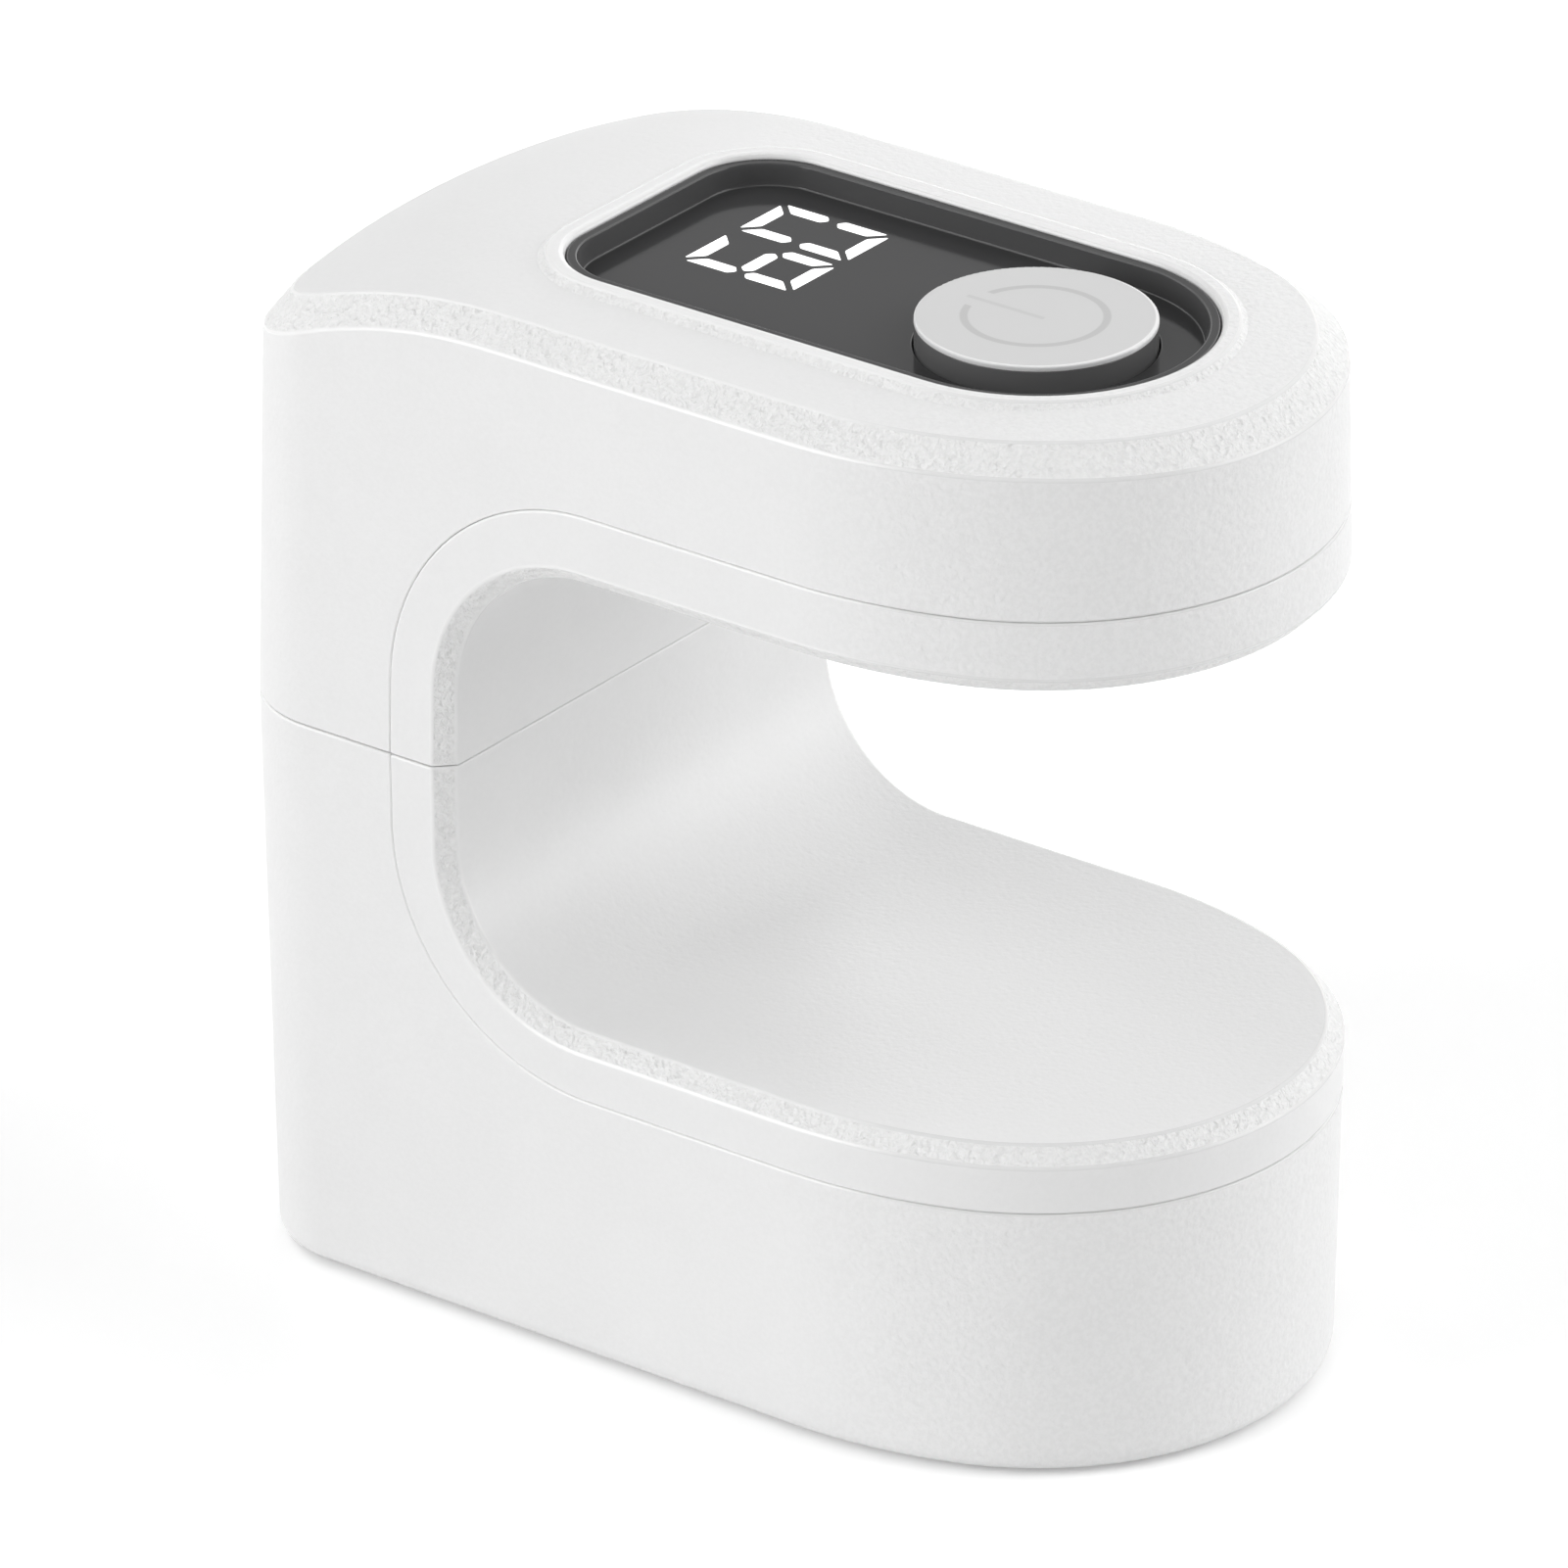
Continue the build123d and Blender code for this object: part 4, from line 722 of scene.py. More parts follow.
def ends_of(boxes, axis, side):
    """The middle of each box's end on the low or high side of an axis."""
    places = [(low + high) / 2.0 for low, high in boxes]
    for place, box in zip(places, boxes):
        place[axis] = box[side][axis]
    return places


def stand_for(piece, node):
    """Lets a piece ride with a CAD node's body and hides the node, which the piece replaces."""
    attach(piece, NODES[node]["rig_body"])
    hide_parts(node)


def skin(node, name, width, segments=3, second=None, has_second=None, edge=None, beside=None):
    """Makes a piece in the shape of a CAD node: softened edges, narrowed seams and the finish of its slot.

    A second finish goes on the faces that has_second picks, and one for the edge on the rounded edges.
    The neighbours are given with the distance by which each seam is narrowed from this side; with
    neighbours, only the edges that face the open are rounded.
    """
    shape = merged(node)
    if beside:
        pick_open_edges(shape, beside)
        for neighbour, growth in beside.items():
            narrow_seam(shape, neighbour, growth)
    for face in shape.faces:
        face.material_index = 1 if second and has_second(face) else 0
        face.smooth = True
    mesh = bpy.data.meshes.new(name)
    shape.to_mesh(mesh)
    shape.free()
    for make in (FINISHES[slot_of(node)], second, edge):
        if make:
            mesh.materials.append(finish_for(make))
    piece = link(mesh, name)
    soften(piece, width, segments, chosen=bool(beside))
    stand_for(piece, node)


def housing_part(node, name, **beside):
    """Makes a moulding of the housing, with chamfers, rounded edges and its neighbours' seams narrowed."""
    width = bpy.context.scene.lamp_plastic.edge
    skin(node, name, width, second=chamfer_plastic, has_second=is_chamfer, edge=shell_edge, beside=beside)


def is_wall(face):
    """Whether a face of the window's tray isn't its floor or its rim."""
    return face.normal.z < LEVEL_FACE


def is_chamfer(face):
    """Whether a face is one of the housing's chamfers: slanted, or into the mouth at the column."""
    across, _, rise = (abs(part) for part in face.normal)
    place = face.calc_center_bounds()
    if place.z < BOTTOM_ROUNDING:
        return False
    if CHAMFER_RISE[0] < rise < CHAMFER_RISE[1]:
        return across > CHAMFER_TURN or place.y < NOSE_SIDE
    into_mouth = MOUTH_CHAMFER_TURN[0] < across < MOUTH_CHAMFER_TURN[1] and face.normal.y < 0.0
    return rise <= CHAMFER_RISE[0] and into_mouth and place.y > COLUMN_SIDE


def tree_of(node):
    """A search tree of a CAD node's faces."""
    shape = merged(node)
    tree = BVHTree.FromBMesh(shape)
    shape.free()
    return tree


def pick_open_edges(shape, beside):
    """Gives the convex edges that face the open a bevel weight, and marks the other sharp edges as sharp."""
    weight = shape.edges.layers.float.new("bevel_weight_edge")
    trees = [BVHTree.FromBMesh(shape)] + [tree_of(neighbour) for neighbour in beside]
    for edge in shape.edges:
        if len(edge.link_faces) != 2 or abs(edge.calc_face_angle_signed(0.0)) < SHARP_EDGE:
            continue
        edge.smooth = False
        lengths = [other.calc_length() for vert in edge.verts for other in vert.link_edges]
        if edge.calc_face_angle_signed(0.0) < 0.0 or min(lengths) < SHORT_EDGE:
            continue
        outward = (edge.link_faces[0].normal + edge.link_faces[1].normal).normalized()
        start = (edge.verts[0].co + edge.verts[1].co) / 2.0 + OPEN_START * outward
        if all(tree.ray_cast(start, outward, OPEN_REACH)[0] is None for tree in trees):
            edge[weight] = 1.0
            edge.smooth = True


def narrow_seam(shape, neighbour, growth):
    """Moves the faces that look at a close neighbour towards it, so that the seam between them is finer."""
    tree = tree_of(neighbour)
    close = {}
    for corners in shape.calc_loop_triangles():
        face = corners[0].face
        spot = sum((corner.vert.co for corner in corners), Vector()) / 3.0
        normal = tree.ray_cast(spot, face.normal, SEAM_REACH)[1]
        if normal is not None and normal.dot(face.normal) < -LEVEL_FACE:
            close[face] = face.normal
    pushes = {}
    for face, normal in close.items():
        for vert in face.verts:
            ways = pushes.setdefault(vert, [])
            if all(way.dot(normal) < SAME_WAY for way in ways):
                ways.append(normal.copy())
    for vert, ways in pushes.items():
        vert.co += growth * sum(ways, Vector())


class Growth(Wiring):
    """A Geometry Nodes tree with named sizes, which puts one form on each point of a mesh."""

    def __init__(self, name, sizes):
        tree = bpy.data.node_groups.new(name, "GeometryNodeTree")
        super().__init__(tree)
        tree.is_modifier = True
        tree.interface.new_socket("Geometry", in_out="INPUT", socket_type="NodeSocketGeometry")
        self.sizes = sizes
        for label, size in sizes.items():
            kind = "NodeSocketVector" if isinstance(size, tuple) else "NodeSocketFloat"
            tree.interface.new_socket(label, in_out="INPUT", socket_type=kind).default_value = size
        tree.interface.new_socket("Geometry", in_out="OUTPUT", socket_type="NodeSocketGeometry")
        self.start = tree.nodes.new("NodeGroupInput")

    def size(self, label):
        """The tree's input of this name."""
        return Flow(self, self.start.outputs[label])

    def disc(self, radius, depth, low, top_radius=None, sides=48):
        """A closed cylinder or cone that stands on the height low."""
        top = radius if top_radius is None else top_radius
        values = {"Vertices": sides, "Radius Top": top, "Radius Bottom": radius, "Depth": depth}
        return self.raised(self.node("GeometryNodeMeshCone", {"fill_type": "NGON"}, values), low)

    def block(self, x, y, z):
        """A closed block about the origin."""
        size = self.node("ShaderNodeCombineXYZ", values={"X": x, "Y": y, "Z": z})
        return self.node("GeometryNodeMeshCube", values={"Size": size})

    def raised(self, form, height):
        """The form, moved up."""
        shift = self.node("ShaderNodeCombineXYZ", values={"Z": height})
        return self.node("GeometryNodeTransform", values={"Geometry": form, "Translation": shift})

    def joined(self, *forms):
        """One closed form from several that overlap."""
        settings = {"operation": "UNION", "solver": "EXACT"}
        return self.node("GeometryNodeMeshBoolean", settings, {"Mesh 2": list(forms)})

    def cut(self, form, tool):
        """The form, less the tool."""
        settings = {"operation": "DIFFERENCE", "solver": "EXACT"}
        return self.node("GeometryNodeMeshBoolean", settings, {"Mesh 1": form, "Mesh 2": tool})

    def painted(self, form, material):
        """The form, in a material."""
        made = self.node("GeometryNodeSetMaterial", values={"Geometry": form})
        made.socket.node.inputs["Material"].default_value = material
        return made

    def finish(self, form, **turn):
        """Puts the form on every point, with a Rotation if one is given, and makes the copies real."""
        values = {"Points": self.size("Geometry"), "Instance": form, **turn}
        copies = self.node("GeometryNodeInstanceOnPoints", values=values)
        real = self.node("GeometryNodeRealizeInstances", values={"Geometry": copies})
        self.node("NodeGroupOutput", values={"Geometry": real})
        return self

    def grow(self, name, places, sizes=None):
        """The tree's result on these places, as a plain mesh object."""
        mesh = bpy.data.meshes.new(name)
        mesh.from_pydata([tuple(place) for place in places], [], [])
        piece = link(mesh, name)
        modifier = piece.modifiers.new("growth", "NODES")
        modifier.node_group = self.tree
        values = {**self.sizes, **(sizes or {})}
        for item in self.tree.interface.items_tree:
            if item.in_out == "INPUT" and item.name in values:
                modifier[item.identifier] = values[item.name]
        return settle(piece)


def screw_growth():
    """Pan-head screw, head down, with a cross recess and a pointed end."""
    sizes = {"Head Radius": 2.2 * MM, "Head Height": 1.6 * MM, "Shank Radius": 1.2 * MM, "Length": 12.0 * MM,
             "Turn": (0.0, 0.0, 0.0)}
    tree = Growth("screw_growth", sizes)
    radius, height = tree.size("Head Radius"), tree.size("Head Height")
    shank, length = tree.size("Shank Radius"), tree.size("Length")
    crown_height, tip_length = height * 0.45, shank * 0.8
    crown = tree.disc(radius * 0.72, crown_height, 0.0, top_radius=radius)
    rim = tree.disc(radius, height * 0.55, crown_height)
    stem = tree.disc(shank, length - height - tip_length, height * 0.9)
    tip = tree.disc(shank, tip_length, length - tip_length - height * 0.1, top_radius=shank * 0.35)
    body = tree.joined(crown, rim, stem, tip)
    slot_length, slot_width, slot_depth = radius * 1.05, radius * 0.26, height * 1.1
    first = tree.block(slot_length, slot_width, slot_depth)
    second = tree.block(slot_width, slot_length, slot_depth)
    form = tree.painted(tree.cut(body, tree.joined(first, second)), finish_for(screw_steel))
    return tree.finish(form, Rotation=tree.size("Turn"))


def foot_growth():
    """Round rubber foot with a bevelled lower edge."""
    sizes = {"Radius": 4.45 * MM, "Height": 1.4 * MM, "Edge": 0.3 * MM}
    tree = Growth("foot_growth", sizes)
    radius, height, edge = tree.size("Radius"), tree.size("Height"), tree.size("Edge")
    lower = tree.disc(radius - edge, edge, 0.0, top_radius=radius, sides=96)
    upper = tree.disc(radius, height - edge, edge, sides=96)
    return tree.finish(tree.painted(tree.joined(lower, upper), finish_for(foot_rubber)))


def emitter_growth():
    """Surface-mounted emitter, looking down: a square ceramic base and a silicone dome."""
    sizes = {"Base Width": 3.5 * MM, "Base Height": 0.7 * MM, "Dome Radius": 1.4 * MM}
    tree = Growth("emitter_growth", sizes)
    width, height, radius = tree.size("Base Width"), tree.size("Base Height"), tree.size("Dome Radius")
    base = tree.raised(tree.block(width, width, height), height * -0.5)
    ball = tree.node("GeometryNodeMeshUVSphere", values={"Segments": 40, "Rings": 24, "Radius": radius})
    lid = tree.raised(tree.block(radius * 3.0, radius * 3.0, radius * 2.0), radius)
    dome = tree.raised(tree.cut(ball, lid), height * -1.0)
    sunk = tree.disc(radius, height * 0.5, height * -1.0, sides=40)
    form = tree.node("GeometryNodeJoinGeometry", values={"Geometry": [
        tree.painted(tree.cut(base, sunk), finish_for(emitter_body)),
        tree.painted(tree.joined(dome, sunk), finish_for(emitter_dome)),
    ]})
    return tree.finish(form)


def contact_growth():
    """Flat contact strip of the charging socket."""
    sizes = {"Width": 0.25 * MM, "Reach": 3.4 * MM, "Thickness": 0.04 * MM}
    tree = Growth("contact_growth", sizes)
    form = tree.block(tree.size("Width"), tree.size("Reach"), tree.size("Thickness"))
    return tree.finish(tree.painted(form, finish_for(contact_gold)))


def a_count(name, description, default, **limits):
    """A property that holds a whole number."""
    return IntProperty(name=name, description=description, default=default, **limits)


def a_length(name, description, default, **limits):
    """A property that holds a length or a place."""
    return FloatProperty(name=name, description=description, default=default, unit="LENGTH", **limits)


def a_level(name, description, default, most=1.0):
    """A property that holds a value from 0 to 1, or to most."""
    return FloatProperty(name=name, description=description, default=default, min=0.0, max=most)


def a_light(name, description, default):
    """A property that holds the strength of a light."""
    return FloatProperty(name=name, description=description, default=default, min=0.0)


def an_angle(name, description, default):
    """A property that holds an angle, given in degrees."""
    return FloatProperty(name=name, description=description, default=math.radians(default), subtype="ANGLE")


def a_colour(name, description, default):
    """A property that holds a colour."""
    return FloatVectorProperty(
        name=name, description=description, default=default, subtype="COLOR", size=3, min=0.0, max=1.0)


class LampPlastic(bpy.types.PropertyGroup):
    """White plastic of the housing."""

    shell_colour: a_colour("Shell colour", "Colour of the outer shells", (0.80, 0.80, 0.80))
    liner_colour: a_colour("Liner colour", "Colour of the liners", (0.80, 0.80, 0.80))
    grain_size: a_length("Grain size", "Width of one spark of the surface texture", 0.42 * MM, min=0.02 * MM)
    grain_depth: a_length("Grain depth", "Depth of the surface texture", 0.1 * MM, min=0.0)
    grain_mottle: a_level("Grain mottle", "Unevenness of the colour in the grain", 0.02, most=0.2)
    edge: a_length("Edge radius", "Rounding of the housing's sharp edges", 0.2 * MM, min=0.0)
    edge_roughness: a_level("Edge roughness", "Roughness of the rounded edges", 0.24)
    # Painted light on the rounded edges: a painted highlight, and painted shade round the nose
    edge_highlight_colour: a_colour("Edge colour", "Colour of the rounded edges", (0.87, 0.87, 0.868))
    nose_edge_shade_colour: a_colour(
        "Nose edge colour", "Colour of the rounded edges round the nose", (0.76, 0.76, 0.758))
    nose_reach: a_length("Nose reach", "Place along Y where the edges of the nose begin", -20.0 * MM)
    # Painted light: the chamfers are a shade lighter than the shells for the light that falls on them
    chamfer_lit_colour: a_colour("Chamfer colour", "Colour of the chamfers", (0.83, 0.83, 0.828))
    chamfer_depth: a_length("Chamfer grain depth", "Depth of the grain on the chamfers", 0.3 * MM, min=0.0)
    chamfer_mottle: a_level("Chamfer mottle", "Unevenness of the chamfers' colour", 0.032, most=0.2)


class LampWindow(bpy.types.PropertyGroup):
    """Display window."""

    colour: a_colour("Colour", "Colour of the smoked plastic", (0.052, 0.052, 0.053))
    roughness: a_level("Roughness", "Roughness of the polished face", 0.1)
    specular: a_level("Specular", "Specular level of the polished face", 0.03)
    # Painted light: the tray's walls are paler than the floor to lift the shade on them
    side_lit_colour: a_colour("Side colour", "Colour of the tray's walls", (0.08, 0.08, 0.081))
    edge_specular: a_level("Edge specular", "Specular level of the polished edges", 0.3)
    edge: a_length("Edge radius", "Rounding of the window's edges", 0.12 * MM, min=0.0)


class LampButton(bpy.types.PropertyGroup):
    """Push button and the mark printed on it."""

    cap_colour: a_colour("Cap colour", "Colour of the cap", (0.6, 0.6, 0.6))
    # Painted highlight along the cap's rounded rim
    rim_highlight_colour: a_colour("Rim colour", "Colour of the cap's rounded rim", (0.86, 0.86, 0.86))
    rim_highlight_radius: a_length("Rim radius", "Radius where the rounded rim begins", 9.02 * MM)
    # Painted reflection: the body's colour is paler than its dark plastic, for the reflections on its side
    skirt_lit_colour: a_colour("Skirt colour", "Colour of the button's body", (0.14, 0.14, 0.141))
    centre_y: a_length("Centre", "Place of the button along the lamp", -18.3 * MM)
    mark_radius: a_length("Mark radius", "Radius of the printed ring", 5.38 * MM)
    mark_width: a_length("Mark width", "Width of the printed ring's line", 0.6 * MM)
    line_width: a_length("Line width", "Width of the printed line", 0.45 * MM)
    mark_gap: a_length("Mark gap", "Half the gap in the ring", 1.35 * MM)
    line_start: a_length("Line start", "Inner end of the line, from the button's centre", -0.8 * MM)
    line_end: a_length("Line end", "Outer end of the line, from the button's centre", 6.3 * MM)
    mark_level: a_level("Mark level", "Lightness of the mark against the cap", 0.84)


class LampFigures(bpy.types.PropertyGroup):
    """Lit figures of the display."""

    first: a_count("First figure", "Figure in the middle place", 6, min=0, max=9)
    second: a_count("Second figure", "Figure in the right place", 0, min=0, max=9)
    centre_x: a_length("Centre", "Place of the first figure across the lamp", -0.38 * MM)
    centre_y: a_length("Row", "Place of the figures along the lamp", 7.2 * MM)
    pitch: a_length("Pitch", "Distance from figure to figure", 6.95 * MM)
    width: a_length("Width", "Width between the bars' middles", 4.78 * MM)
    height: a_length("Height", "Height between the bars' middles", 9.1 * MM)
    bar: a_length("Bar", "Thickness of a bar", 1.2 * MM)
    gap: a_length("Gap", "Gap between neighbouring bars", 0.55 * MM)
    corner: a_length("Corner", "Rounding of the bars' corners", 0.22 * MM)
    film: a_length("Film", "Height of the lit bars over the window's floor", 0.02 * MM)
    strength: a_light("Strength", "Strength of the figures' light", 1.0)


class LampStage(bpy.types.PropertyGroup):
    """Camera, lamps and floor."""

    azimuth: an_angle("Azimuth", "Turn of the camera from the front towards the left side", 53.219172)
    elevation: an_angle("Elevation", "Height of the camera", 25.969930)
    roll: an_angle("Roll", "Roll of the camera", -0.052848)
    distance: a_length("Distance", "Distance of the camera from its aim", 1.117556)
    aim: FloatVectorProperty(
        name="Aim", description="Point that the camera looks at", size=3, subtype="TRANSLATION",
        default=(7.470965 * MM, 10.801478 * MM, 35.932901 * MM))
    focal_length: FloatProperty(
        name="Focal length", description="Focal length on a sensor 36 mm wide", default=329.9206, min=1.0)
    world: a_light("Surroundings", "Strength of the even light", 0.0)
    right: a_light("Right", "Strength of the wide right lamp", 1.4)
    left: a_light("Left", "Strength of the wide upper left lamp", 1.19)
    back_left: a_light("Back left", "Strength of the low lamp behind and to the left", 1.335)
    front_right: a_light("Front right", "Strength of the low lamp in front and to the right", 1.39)
    front_high: a_light("Front high", "Strength of the upper lamp in front and to the right", 0.475)
    back: a_light("Back", "Strength of the rear lamp", 0.543)
    floor_lift: a_light("Floor lift", "White that the floor adds where the camera sees it", 0.2)
    floor_colour: a_colour("Floor colour", "Colour of the floor", (0.97, 0.97, 0.97))


class LAMP_OT_shells(bpy.types.Operator):
    """Make the upper and the lower outer shell"""

    bl_idname = "lamp.shells"
    bl_label = "Outer Shells"

    def execute(self, context):
        middle, head, base = MIDDLE_SEAM_GROWTH, HEAD_SEAM_GROWTH, BASE_SEAM_GROWTH
        housing_part("upper_shell", "shell_of_head", lower_shell=middle, upper_liner=head)
        housing_part("lower_shell", "shell_of_base", upper_shell=middle, lower_liner=base)
        return {"FINISHED"}


class LAMP_OT_liners(bpy.types.Operator):
    """Make the two liners round the finger space"""

    bl_idname = "lamp.liners"
    bl_label = "Liners"

    def execute(self, context):
        middle, head, base = MIDDLE_SEAM_GROWTH, HEAD_SEAM_GROWTH, BASE_SEAM_GROWTH
        housing_part("upper_liner", "liner_of_head", lower_liner=middle, upper_shell=head)
        housing_part("lower_liner", "liner_of_base", upper_liner=middle, lower_shell=base)
        return {"FINISHED"}


class LAMP_OT_window(bpy.types.Operator):
    """Make the smoked window and its foam frame"""

    bl_idname = "lamp.window"
    bl_label = "Display Window"

    def execute(self, context):
        width = context.scene.lamp_window.edge
        skin("display_window", "window_tray", width, second=window_side, has_second=is_wall, edge=window_edge)
        dress("window_gasket")
        return {"FINISHED"}


class LAMP_OT_button(bpy.types.Operator):
    """Make the push button, its printed mark and the switch under it"""

    bl_idname = "lamp.button"
    bl_label = "Push Button"

    def execute(self, context):
        skin("button_cap", "button_disc", CAP_EDGE, segments=2)
        skin("button_skirt", "button_body", SKIRT_EDGE, segments=2)
        dress("tact_switch", "switch_plunger")
        return {"FINISHED"}


class LAMP_OT_figures(bpy.types.Operator):
    """Make the display and its lit figures"""

    bl_idname = "lamp.figures"
    bl_label = "Lit Figures"

    def execute(self, context):
        look = context.scene.lamp_figures
        dress("display_module")
        shape = bmesh.new()
        floor = window_floor()
        for place, figure in enumerate((look.first, look.second)):
            for bar in figure_bars(look, figure, look.centre_x + place * look.pitch):
                add_bar(shape, bar, floor, look.film)
        mesh = bpy.data.meshes.new("lit_figures")
        bmesh.ops.recalc_face_normals(shape, faces=shape.faces)
        shape.to_mesh(mesh)
        shape.free()
        piece = link(mesh, "lit_figures")
        mesh.materials.append(finish_for(figure_glow))
        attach(piece, NODES["display_window"]["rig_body"])
        return {"FINISHED"}


def window_floor():
    """Height of the window's flat floor: the largest flat face that looks up inside its rim."""
    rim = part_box("display_window")[1].z - RIM_DEPTH
    mesh = NODES["display_window"].data
    flats = [face for face in mesh.polygons if face.normal.z > FLAT_FLOOR and face.center.z < rim]
    if not flats:
        raise RuntimeError("the window has no flat floor")
    return max(flats, key=lambda face: face.area).center.z


LIT_BARS = {
    0: "top upper_left upper_right lower_left lower_right bottom",
    1: "upper_right lower_right",
    2: "top upper_right middle lower_left bottom",
    3: "top upper_right middle lower_right bottom",
    4: "upper_left upper_right middle lower_right",
    5: "top upper_left middle lower_right bottom",
    6: "top upper_left middle lower_left lower_right bottom",
    7: "top upper_right lower_right",
    8: "top upper_left upper_right middle lower_left lower_right bottom",
    9: "top upper_left upper_right middle lower_right bottom",
}


def figure_bars(look, figure, centre):
    """Outlines of a figure's lit bars in plan, mitred at the corners and pointed at the middle."""
    half_width, half_height = look.width / 2.0, look.height / 2.0
    left, right = centre - half_width, centre + half_width
    top, middle, bottom = look.centre_y + half_height, look.centre_y, look.centre_y - half_height
    bars = {
        "top": ((left, top), (right, top), (0, -1), False, False),
        "middle": ((left, middle), (right, middle), (0, -1), True, True),
        "bottom": ((left, bottom), (right, bottom), (0, 1), False, False),
        "upper_left": ((left, top), (left, middle), (1, 0), False, True),
        "upper_right": ((right, top), (right, middle), (-1, 0), False, True),
        "lower_left": ((left, bottom), (left, middle), (1, 0), False, True),
        "lower_right": ((right, bottom), (right, middle), (-1, 0), False, True),
    }
    return [bar_outline(look, *bars[name]) for name in LIT_BARS[figure].split()]


def bar_outline(look, start, end, inward, start_pointed, end_pointed):
    """One bar from middle to middle of its neighbours, with softly rounded corners."""
    start, end = Vector(start), Vector(end)
    along = (end - start).normalized()
    first = bar_end(look, start, along, Vector(inward), start_pointed)
    last = bar_end(look, end, -along, Vector(inward), end_pointed)
    return rounded(first + last[::-1], look.corner)


def bar_end(look, place, along, inward, pointed):
    """Corners of a bar's end from its outer to its inner side."""
    half = look.bar / 2.0
    back = look.gap * math.sqrt(0.5)
    if pointed:
        shoulder = place + along * (back + half * BAR_POINT)
        return [shoulder - inward * half, place + along * back, shoulder + inward * half]
    return [place + along * (back - half) - inward * half, place + along * (back + half) + inward * half]


def rounded(outline, radius, steps=3):
    """A closed outline whose corners are rounded by short curves."""
    smooth = []
    for index, corner in enumerate(outline):
        before, after = outline[index - 1], outline[(index + 1) % len(outline)]
        reach = min(radius, (before - corner).length / 2.0, (after - corner).length / 2.0)
        first = corner + (before - corner).normalized() * reach
        last = corner + (after - corner).normalized() * reach
        for step in range(steps + 1):
            share = step / steps
            smooth.append(first.lerp(corner, share).lerp(corner.lerp(last, share), share))
    return smooth


def add_bar(shape, outline, low, height):
    """Adds a closed flat prism over an outline in plan."""
    bottom = [shape.verts.new((corner.x, corner.y, low)) for corner in outline]
    top = [shape.verts.new((corner.x, corner.y, low + height)) for corner in outline]
    shape.faces.new(bottom)
    shape.faces.new(list(reversed(top)))
    for index in range(len(outline)):
        after = (index + 1) % len(outline)
        shape.faces.new((bottom[index], top[index], top[after], bottom[after]))


class LAMP_OT_light_unit(bpy.types.Operator):
    """Make the light board, its emitters, the reflector and the clear cover"""

    bl_idname = "lamp.light_unit"
    bl_label = "Light Unit"

    def execute(self, context):
        dress("led_board", "reflector", "led_lens")
        boxes = solid_boxes("uv_leds")
        size = boxes[0][1] - boxes[0][0]
        tree = emitter_growth()
        sizes = {"Base Width": size.x, "Base Height": size.z - tree.sizes["Dome Radius"]}
        piece = tree.grow("light_emitters", ends_of(boxes, UPRIGHT, HIGH), sizes)
        piece.data.set_sharp_from_angle(angle=EMITTER_EDGE)
        stand_for(piece, "uv_leds")
        return {"FINISHED"}


class LAMP_OT_screws(bpy.types.Operator):
    """Make the screws of the housing and of the boards"""

    bl_idname = "lamp.screws"
    bl_label = "Screws"

    def execute(self, context):
        tree = screw_growth()
        up, down = (0.0, UPRIGHT, LOW), (math.pi, UPRIGHT, HIGH)
        back = (-math.pi / 2.0, ALONG, LOW)
        small = {"Head Radius": 1.75 * MM, "Head Height": 1.0 * MM, "Shank Radius": 0.9 * MM}
        groups = (
            ("head_screws", up, {}), ("column_screws", up, {}), ("base_screws", up, {}),
            ("control_board_screws", up, small), ("led_board_screws", down, small),
            ("battery_strap_screws", down, small), ("charge_board_screws", back, small),
        )
        for node, way, sizes in groups:
            self.drive(tree, node, way, sizes)
        return {"FINISHED"}

    @staticmethod
    def drive(tree, node, way, sizes):
        """Puts a screw in the place of each of the node's solids; its way is a turn, an axis and a side."""
        turn, axis, side = way
        boxes = solid_boxes(node)
        low, high = boxes[-1]
        sizes = {**sizes, "Length": high[axis] - low[axis], "Turn": (turn, 0.0, 0.0)}
        piece = tree.grow(f"{node}_driven", ends_of(boxes, axis, side), sizes)
        shade(piece)
        stand_for(piece, node)


class LAMP_OT_feet(bpy.types.Operator):
    """Make the four rubber feet"""

    bl_idname = "lamp.feet"
    bl_label = "Feet"

    def execute(self, context):
        boxes = solid_boxes("rubber_feet")
        size = boxes[0][1] - boxes[0][0]
        sizes = {"Radius": size.x / 2.0, "Height": size.z}
        piece = foot_growth().grow("feet_round", ends_of(boxes, UPRIGHT, LOW), sizes)
        shade(piece)
        stand_for(piece, "rubber_feet")
        return {"FINISHED"}


class LAMP_OT_socket(bpy.types.Operator):
    """Make the charging socket, its contacts and its board"""

    bl_idname = "lamp.socket"
    bl_label = "Charging Socket"

    contacts: a_count("Contacts", "Contacts on each side of the tongue", 12, min=1)
    pitch: a_length("Pitch", "Distance from contact to contact", 0.5 * MM)
    setback: a_length("Setback", "Distance of the contacts from the tongue's tip", 0.5 * MM)
    side: a_length("Side", "Height of the contacts from the tongue's middle", 0.35 * MM)

    def execute(self, context):
        skin("usb_port", "socket_shell", PORT_EDGE, segments=2)
        dress("usb_tongue", "charge_board")
        low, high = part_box("usb_tongue")
        middle = (low + high) / 2.0
        tree = contact_growth()
        place = high.y - self.setback - tree.sizes["Reach"] / 2.0
        places = []
        for index in range(self.contacts):
            x = middle.x + (index - (self.contacts - 1) / 2.0) * self.pitch
            places += [(x, place, middle.z + self.side), (x, place, middle.z - self.side)]
        piece = tree.grow("socket_contacts", places)
        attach(piece, NODES["usb_tongue"]["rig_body"])
        return {"FINISHED"}


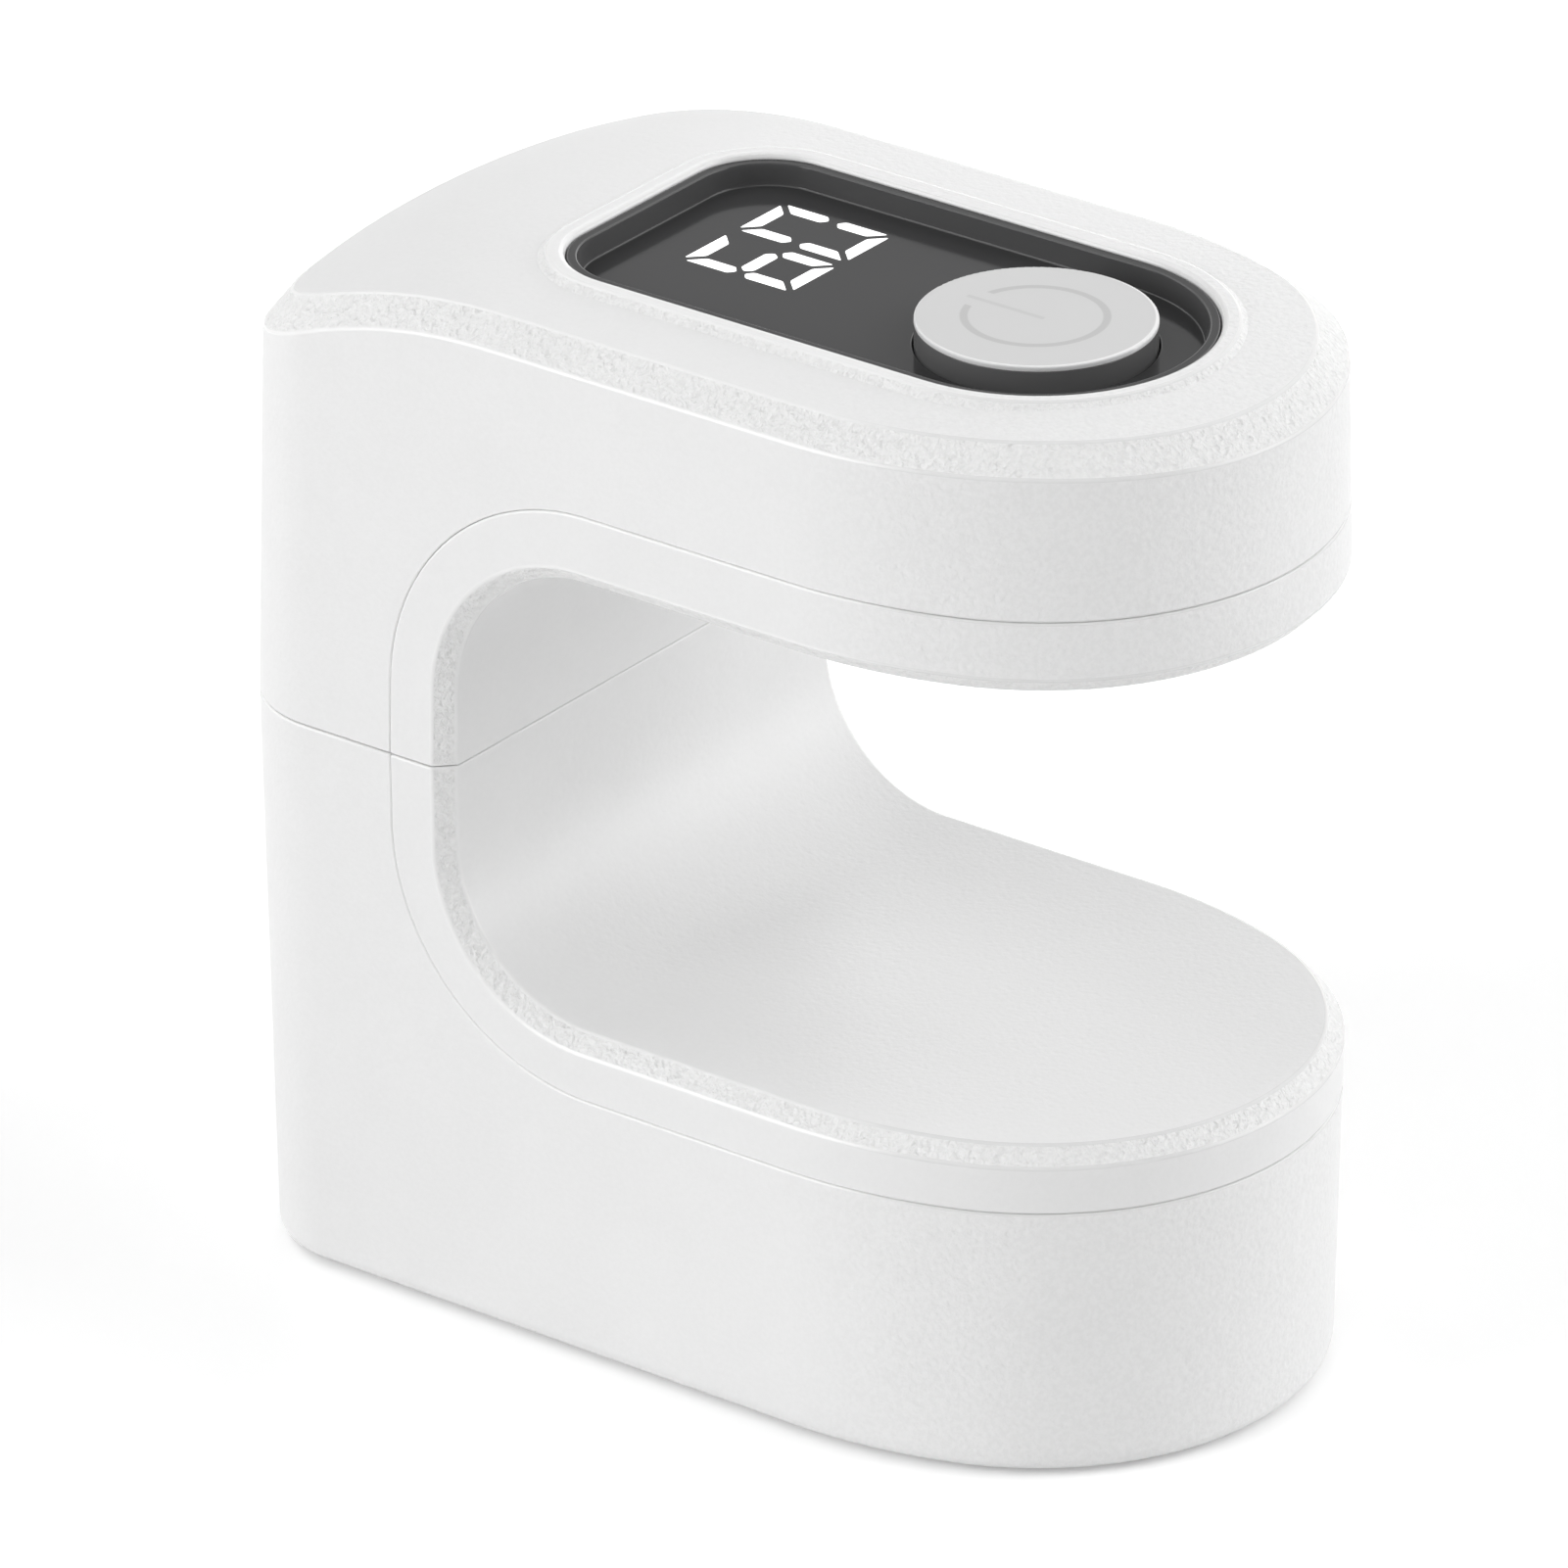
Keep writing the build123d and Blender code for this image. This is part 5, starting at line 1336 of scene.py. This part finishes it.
class LAMP_OT_inside(bpy.types.Operator):
    """Finish the cell, the boards and the leads inside the housing"""

    bl_idname = "lamp.inside"
    bl_label = "Inner Parts"

    def execute(self, context):
        dress("control_board", "board_link", "battery_cell", "battery_strap", "battery_leads", "power_leads")
        return {"FINISHED"}


def seen_directly(wiring):
    """1 for what the camera sees, also in a reflection or through glass, and 0 for diffuse light."""
    path = wiring.node("ShaderNodeLightPath").socket.node
    kinds = ("Camera", "Glossy", "Transmission")
    camera, *others = (Flow(wiring, path.outputs[f"Is {kind} Ray"]) for kind in kinds)
    return wiring.math("MAXIMUM", camera, wiring.math("MAXIMUM", *others))


class LAMP_OT_stage(bpy.types.Operator):
    """Make the floor, the lamps, the surroundings and the camera"""

    bl_idname = "lamp.stage"
    bl_label = "Stage"

    def execute(self, context):
        look = context.scene.lamp_stage
        self.make_floor(look)
        self.make_world(context, look)
        for name, aim in LAMPS.items():
            self.make_lamp(f"lamp_{name}", getattr(look, name), *aim)
        self.make_camera(context, look)
        context.scene.view_settings.view_transform = "Standard"
        return {"FINISHED"}

    @staticmethod
    def make_floor(look):
        """A large plain floor with its faint tooth."""
        mesh = bpy.data.meshes.new("floor")
        corners = [(x * FLOOR_REACH, y * FLOOR_REACH, 0.0) for x, y in ((-1, -1), (1, -1), (1, 1), (-1, 1))]
        mesh.from_pydata(corners, [], [(0, 1, 2, 3)])
        floor = link(mesh, "floor")
        finish = Finish("floor_pale")
        tooth = finish.noise(FLOOR_TOOTH, detail=3.0)
        dark = [FLOOR_SHADE * part for part in look.floor_colour]
        mesh.materials.append(finish.close(
            Base_Color=finish.blend(tooth, dark, look.floor_colour),
            Roughness=0.9,
            Specular_IOR_Level=0.0,
            Emission_Color=finish.blend(seen_directly(finish), 0.0, look.floor_lift),
            Emission_Strength=1.0,
        ))

    @staticmethod
    def make_world(context, look):
        """Even light all round, seen as white by the camera and in reflections."""
        world = bpy.data.worlds.new("studio")
        world.use_nodes = True
        context.scene.world = world
        wiring = Wiring(world.node_tree)
        strength = look.world + (1.0 - look.world) * seen_directly(wiring)
        light = wiring.node("ShaderNodeBackground", values={"Color": colour(1.0), "Strength": strength})
        wiring.node("ShaderNodeOutputWorld", values={"Surface": light})

    @staticmethod
    def make_lamp(name, strength, azimuth, elevation, spread):
        """A wide soft lamp far away; the azimuth turns from +X towards +Y."""
        light = bpy.data.lights.new(name, "SUN")
        light.energy = strength
        light.angle = math.radians(spread)
        lamp = bpy.data.objects.new(name, light)
        bpy.context.scene.collection.objects.link(lamp)
        turn, lift = math.radians(azimuth), math.radians(elevation)
        flat = math.cos(lift)
        towards = Vector((math.cos(turn) * flat, math.sin(turn) * flat, math.sin(lift)))
        lamp.rotation_euler = towards.to_track_quat("Z", "Y").to_euler()
        lamp.location = towards * LAMP_DISTANCE

    @staticmethod
    def make_camera(context, look):
        """The camera at the photograph's viewing angle."""
        data = bpy.data.cameras.new("camera")
        data.lens = look.focal_length
        data.sensor_width = SENSOR_WIDTH
        data.clip_start, data.clip_end = CLIP_REACH
        camera = bpy.data.objects.new("camera", data)
        context.scene.collection.objects.link(camera)
        azimuth, elevation = look.azimuth, look.elevation
        flat = math.cos(elevation)
        towards = Vector((-math.sin(azimuth) * flat, -math.cos(azimuth) * flat, math.sin(elevation)))
        right = Vector((0.0, 0.0, 1.0)).cross(towards).normalized()
        up = towards.cross(right)
        level = Matrix((right, up, towards)).transposed()
        turn = Matrix.Rotation(look.roll, 3, towards) @ level
        camera.matrix_world = Matrix.Translation(Vector(look.aim) + towards * look.distance) @ turn.to_4x4()
        context.scene.camera = camera


class LAMP_PT_pieces(bpy.types.Panel):
    """Lists the lamp's pieces in the order in which they are made"""

    bl_idname = "LAMP_PT_pieces"
    bl_label = "Nail Lamp"
    bl_space_type = "VIEW_3D"
    bl_region_type = "UI"
    bl_category = "Nail Lamp"

    def draw(self, context):
        layout = self.layout
        layout.use_property_split = True
        for operator in PIECES:
            layout.operator(operator.bl_idname, text=operator.bl_label)
        for label, name in SETTINGS.items():
            layout.label(text=label)
            group = getattr(context.scene, name)
            for prop in group.bl_rna.properties:
                if prop.identifier not in {"rna_type", "name"}:
                    layout.prop(group, prop.identifier)


PIECES = (
    LAMP_OT_shells,
    LAMP_OT_liners,
    LAMP_OT_window,
    LAMP_OT_button,
    LAMP_OT_figures,
    LAMP_OT_light_unit,
    LAMP_OT_screws,
    LAMP_OT_feet,
    LAMP_OT_socket,
    LAMP_OT_inside,
    LAMP_OT_stage,
)
SETTINGS = {
    "Plastic": "lamp_plastic",
    "Window": "lamp_window",
    "Button": "lamp_button",
    "Figures": "lamp_figures",
    "Stage": "lamp_stage",
}
GROUPS = (LampPlastic, LampWindow, LampButton, LampFigures, LampStage)


def register():
    """Registers the settings, the operators and the panel."""
    for group, name in zip(GROUPS, SETTINGS.values()):
        bpy.utils.register_class(group)
        setattr(bpy.types.Scene, name, PointerProperty(type=group))
    for item in (*PIECES, LAMP_PT_pieces):
        bpy.utils.register_class(item)


def unregister():
    """Takes them out again."""
    for item in (LAMP_PT_pieces, *reversed(PIECES)):
        bpy.utils.unregister_class(item)
    for group, name in zip(reversed(GROUPS), reversed(list(SETTINGS.values()))):
        delattr(bpy.types.Scene, name)
        bpy.utils.unregister_class(group)


def main():
    """Registers everything and makes each piece in turn."""
    register()
    bpy.ops.lamp.shells()
    bpy.ops.lamp.liners()
    bpy.ops.lamp.window()
    bpy.ops.lamp.button()
    bpy.ops.lamp.figures()
    bpy.ops.lamp.light_unit()
    bpy.ops.lamp.screws()
    bpy.ops.lamp.feet()
    bpy.ops.lamp.socket()
    bpy.ops.lamp.inside()
    bpy.ops.lamp.stage()


if __name__ == "__main__":
    main()
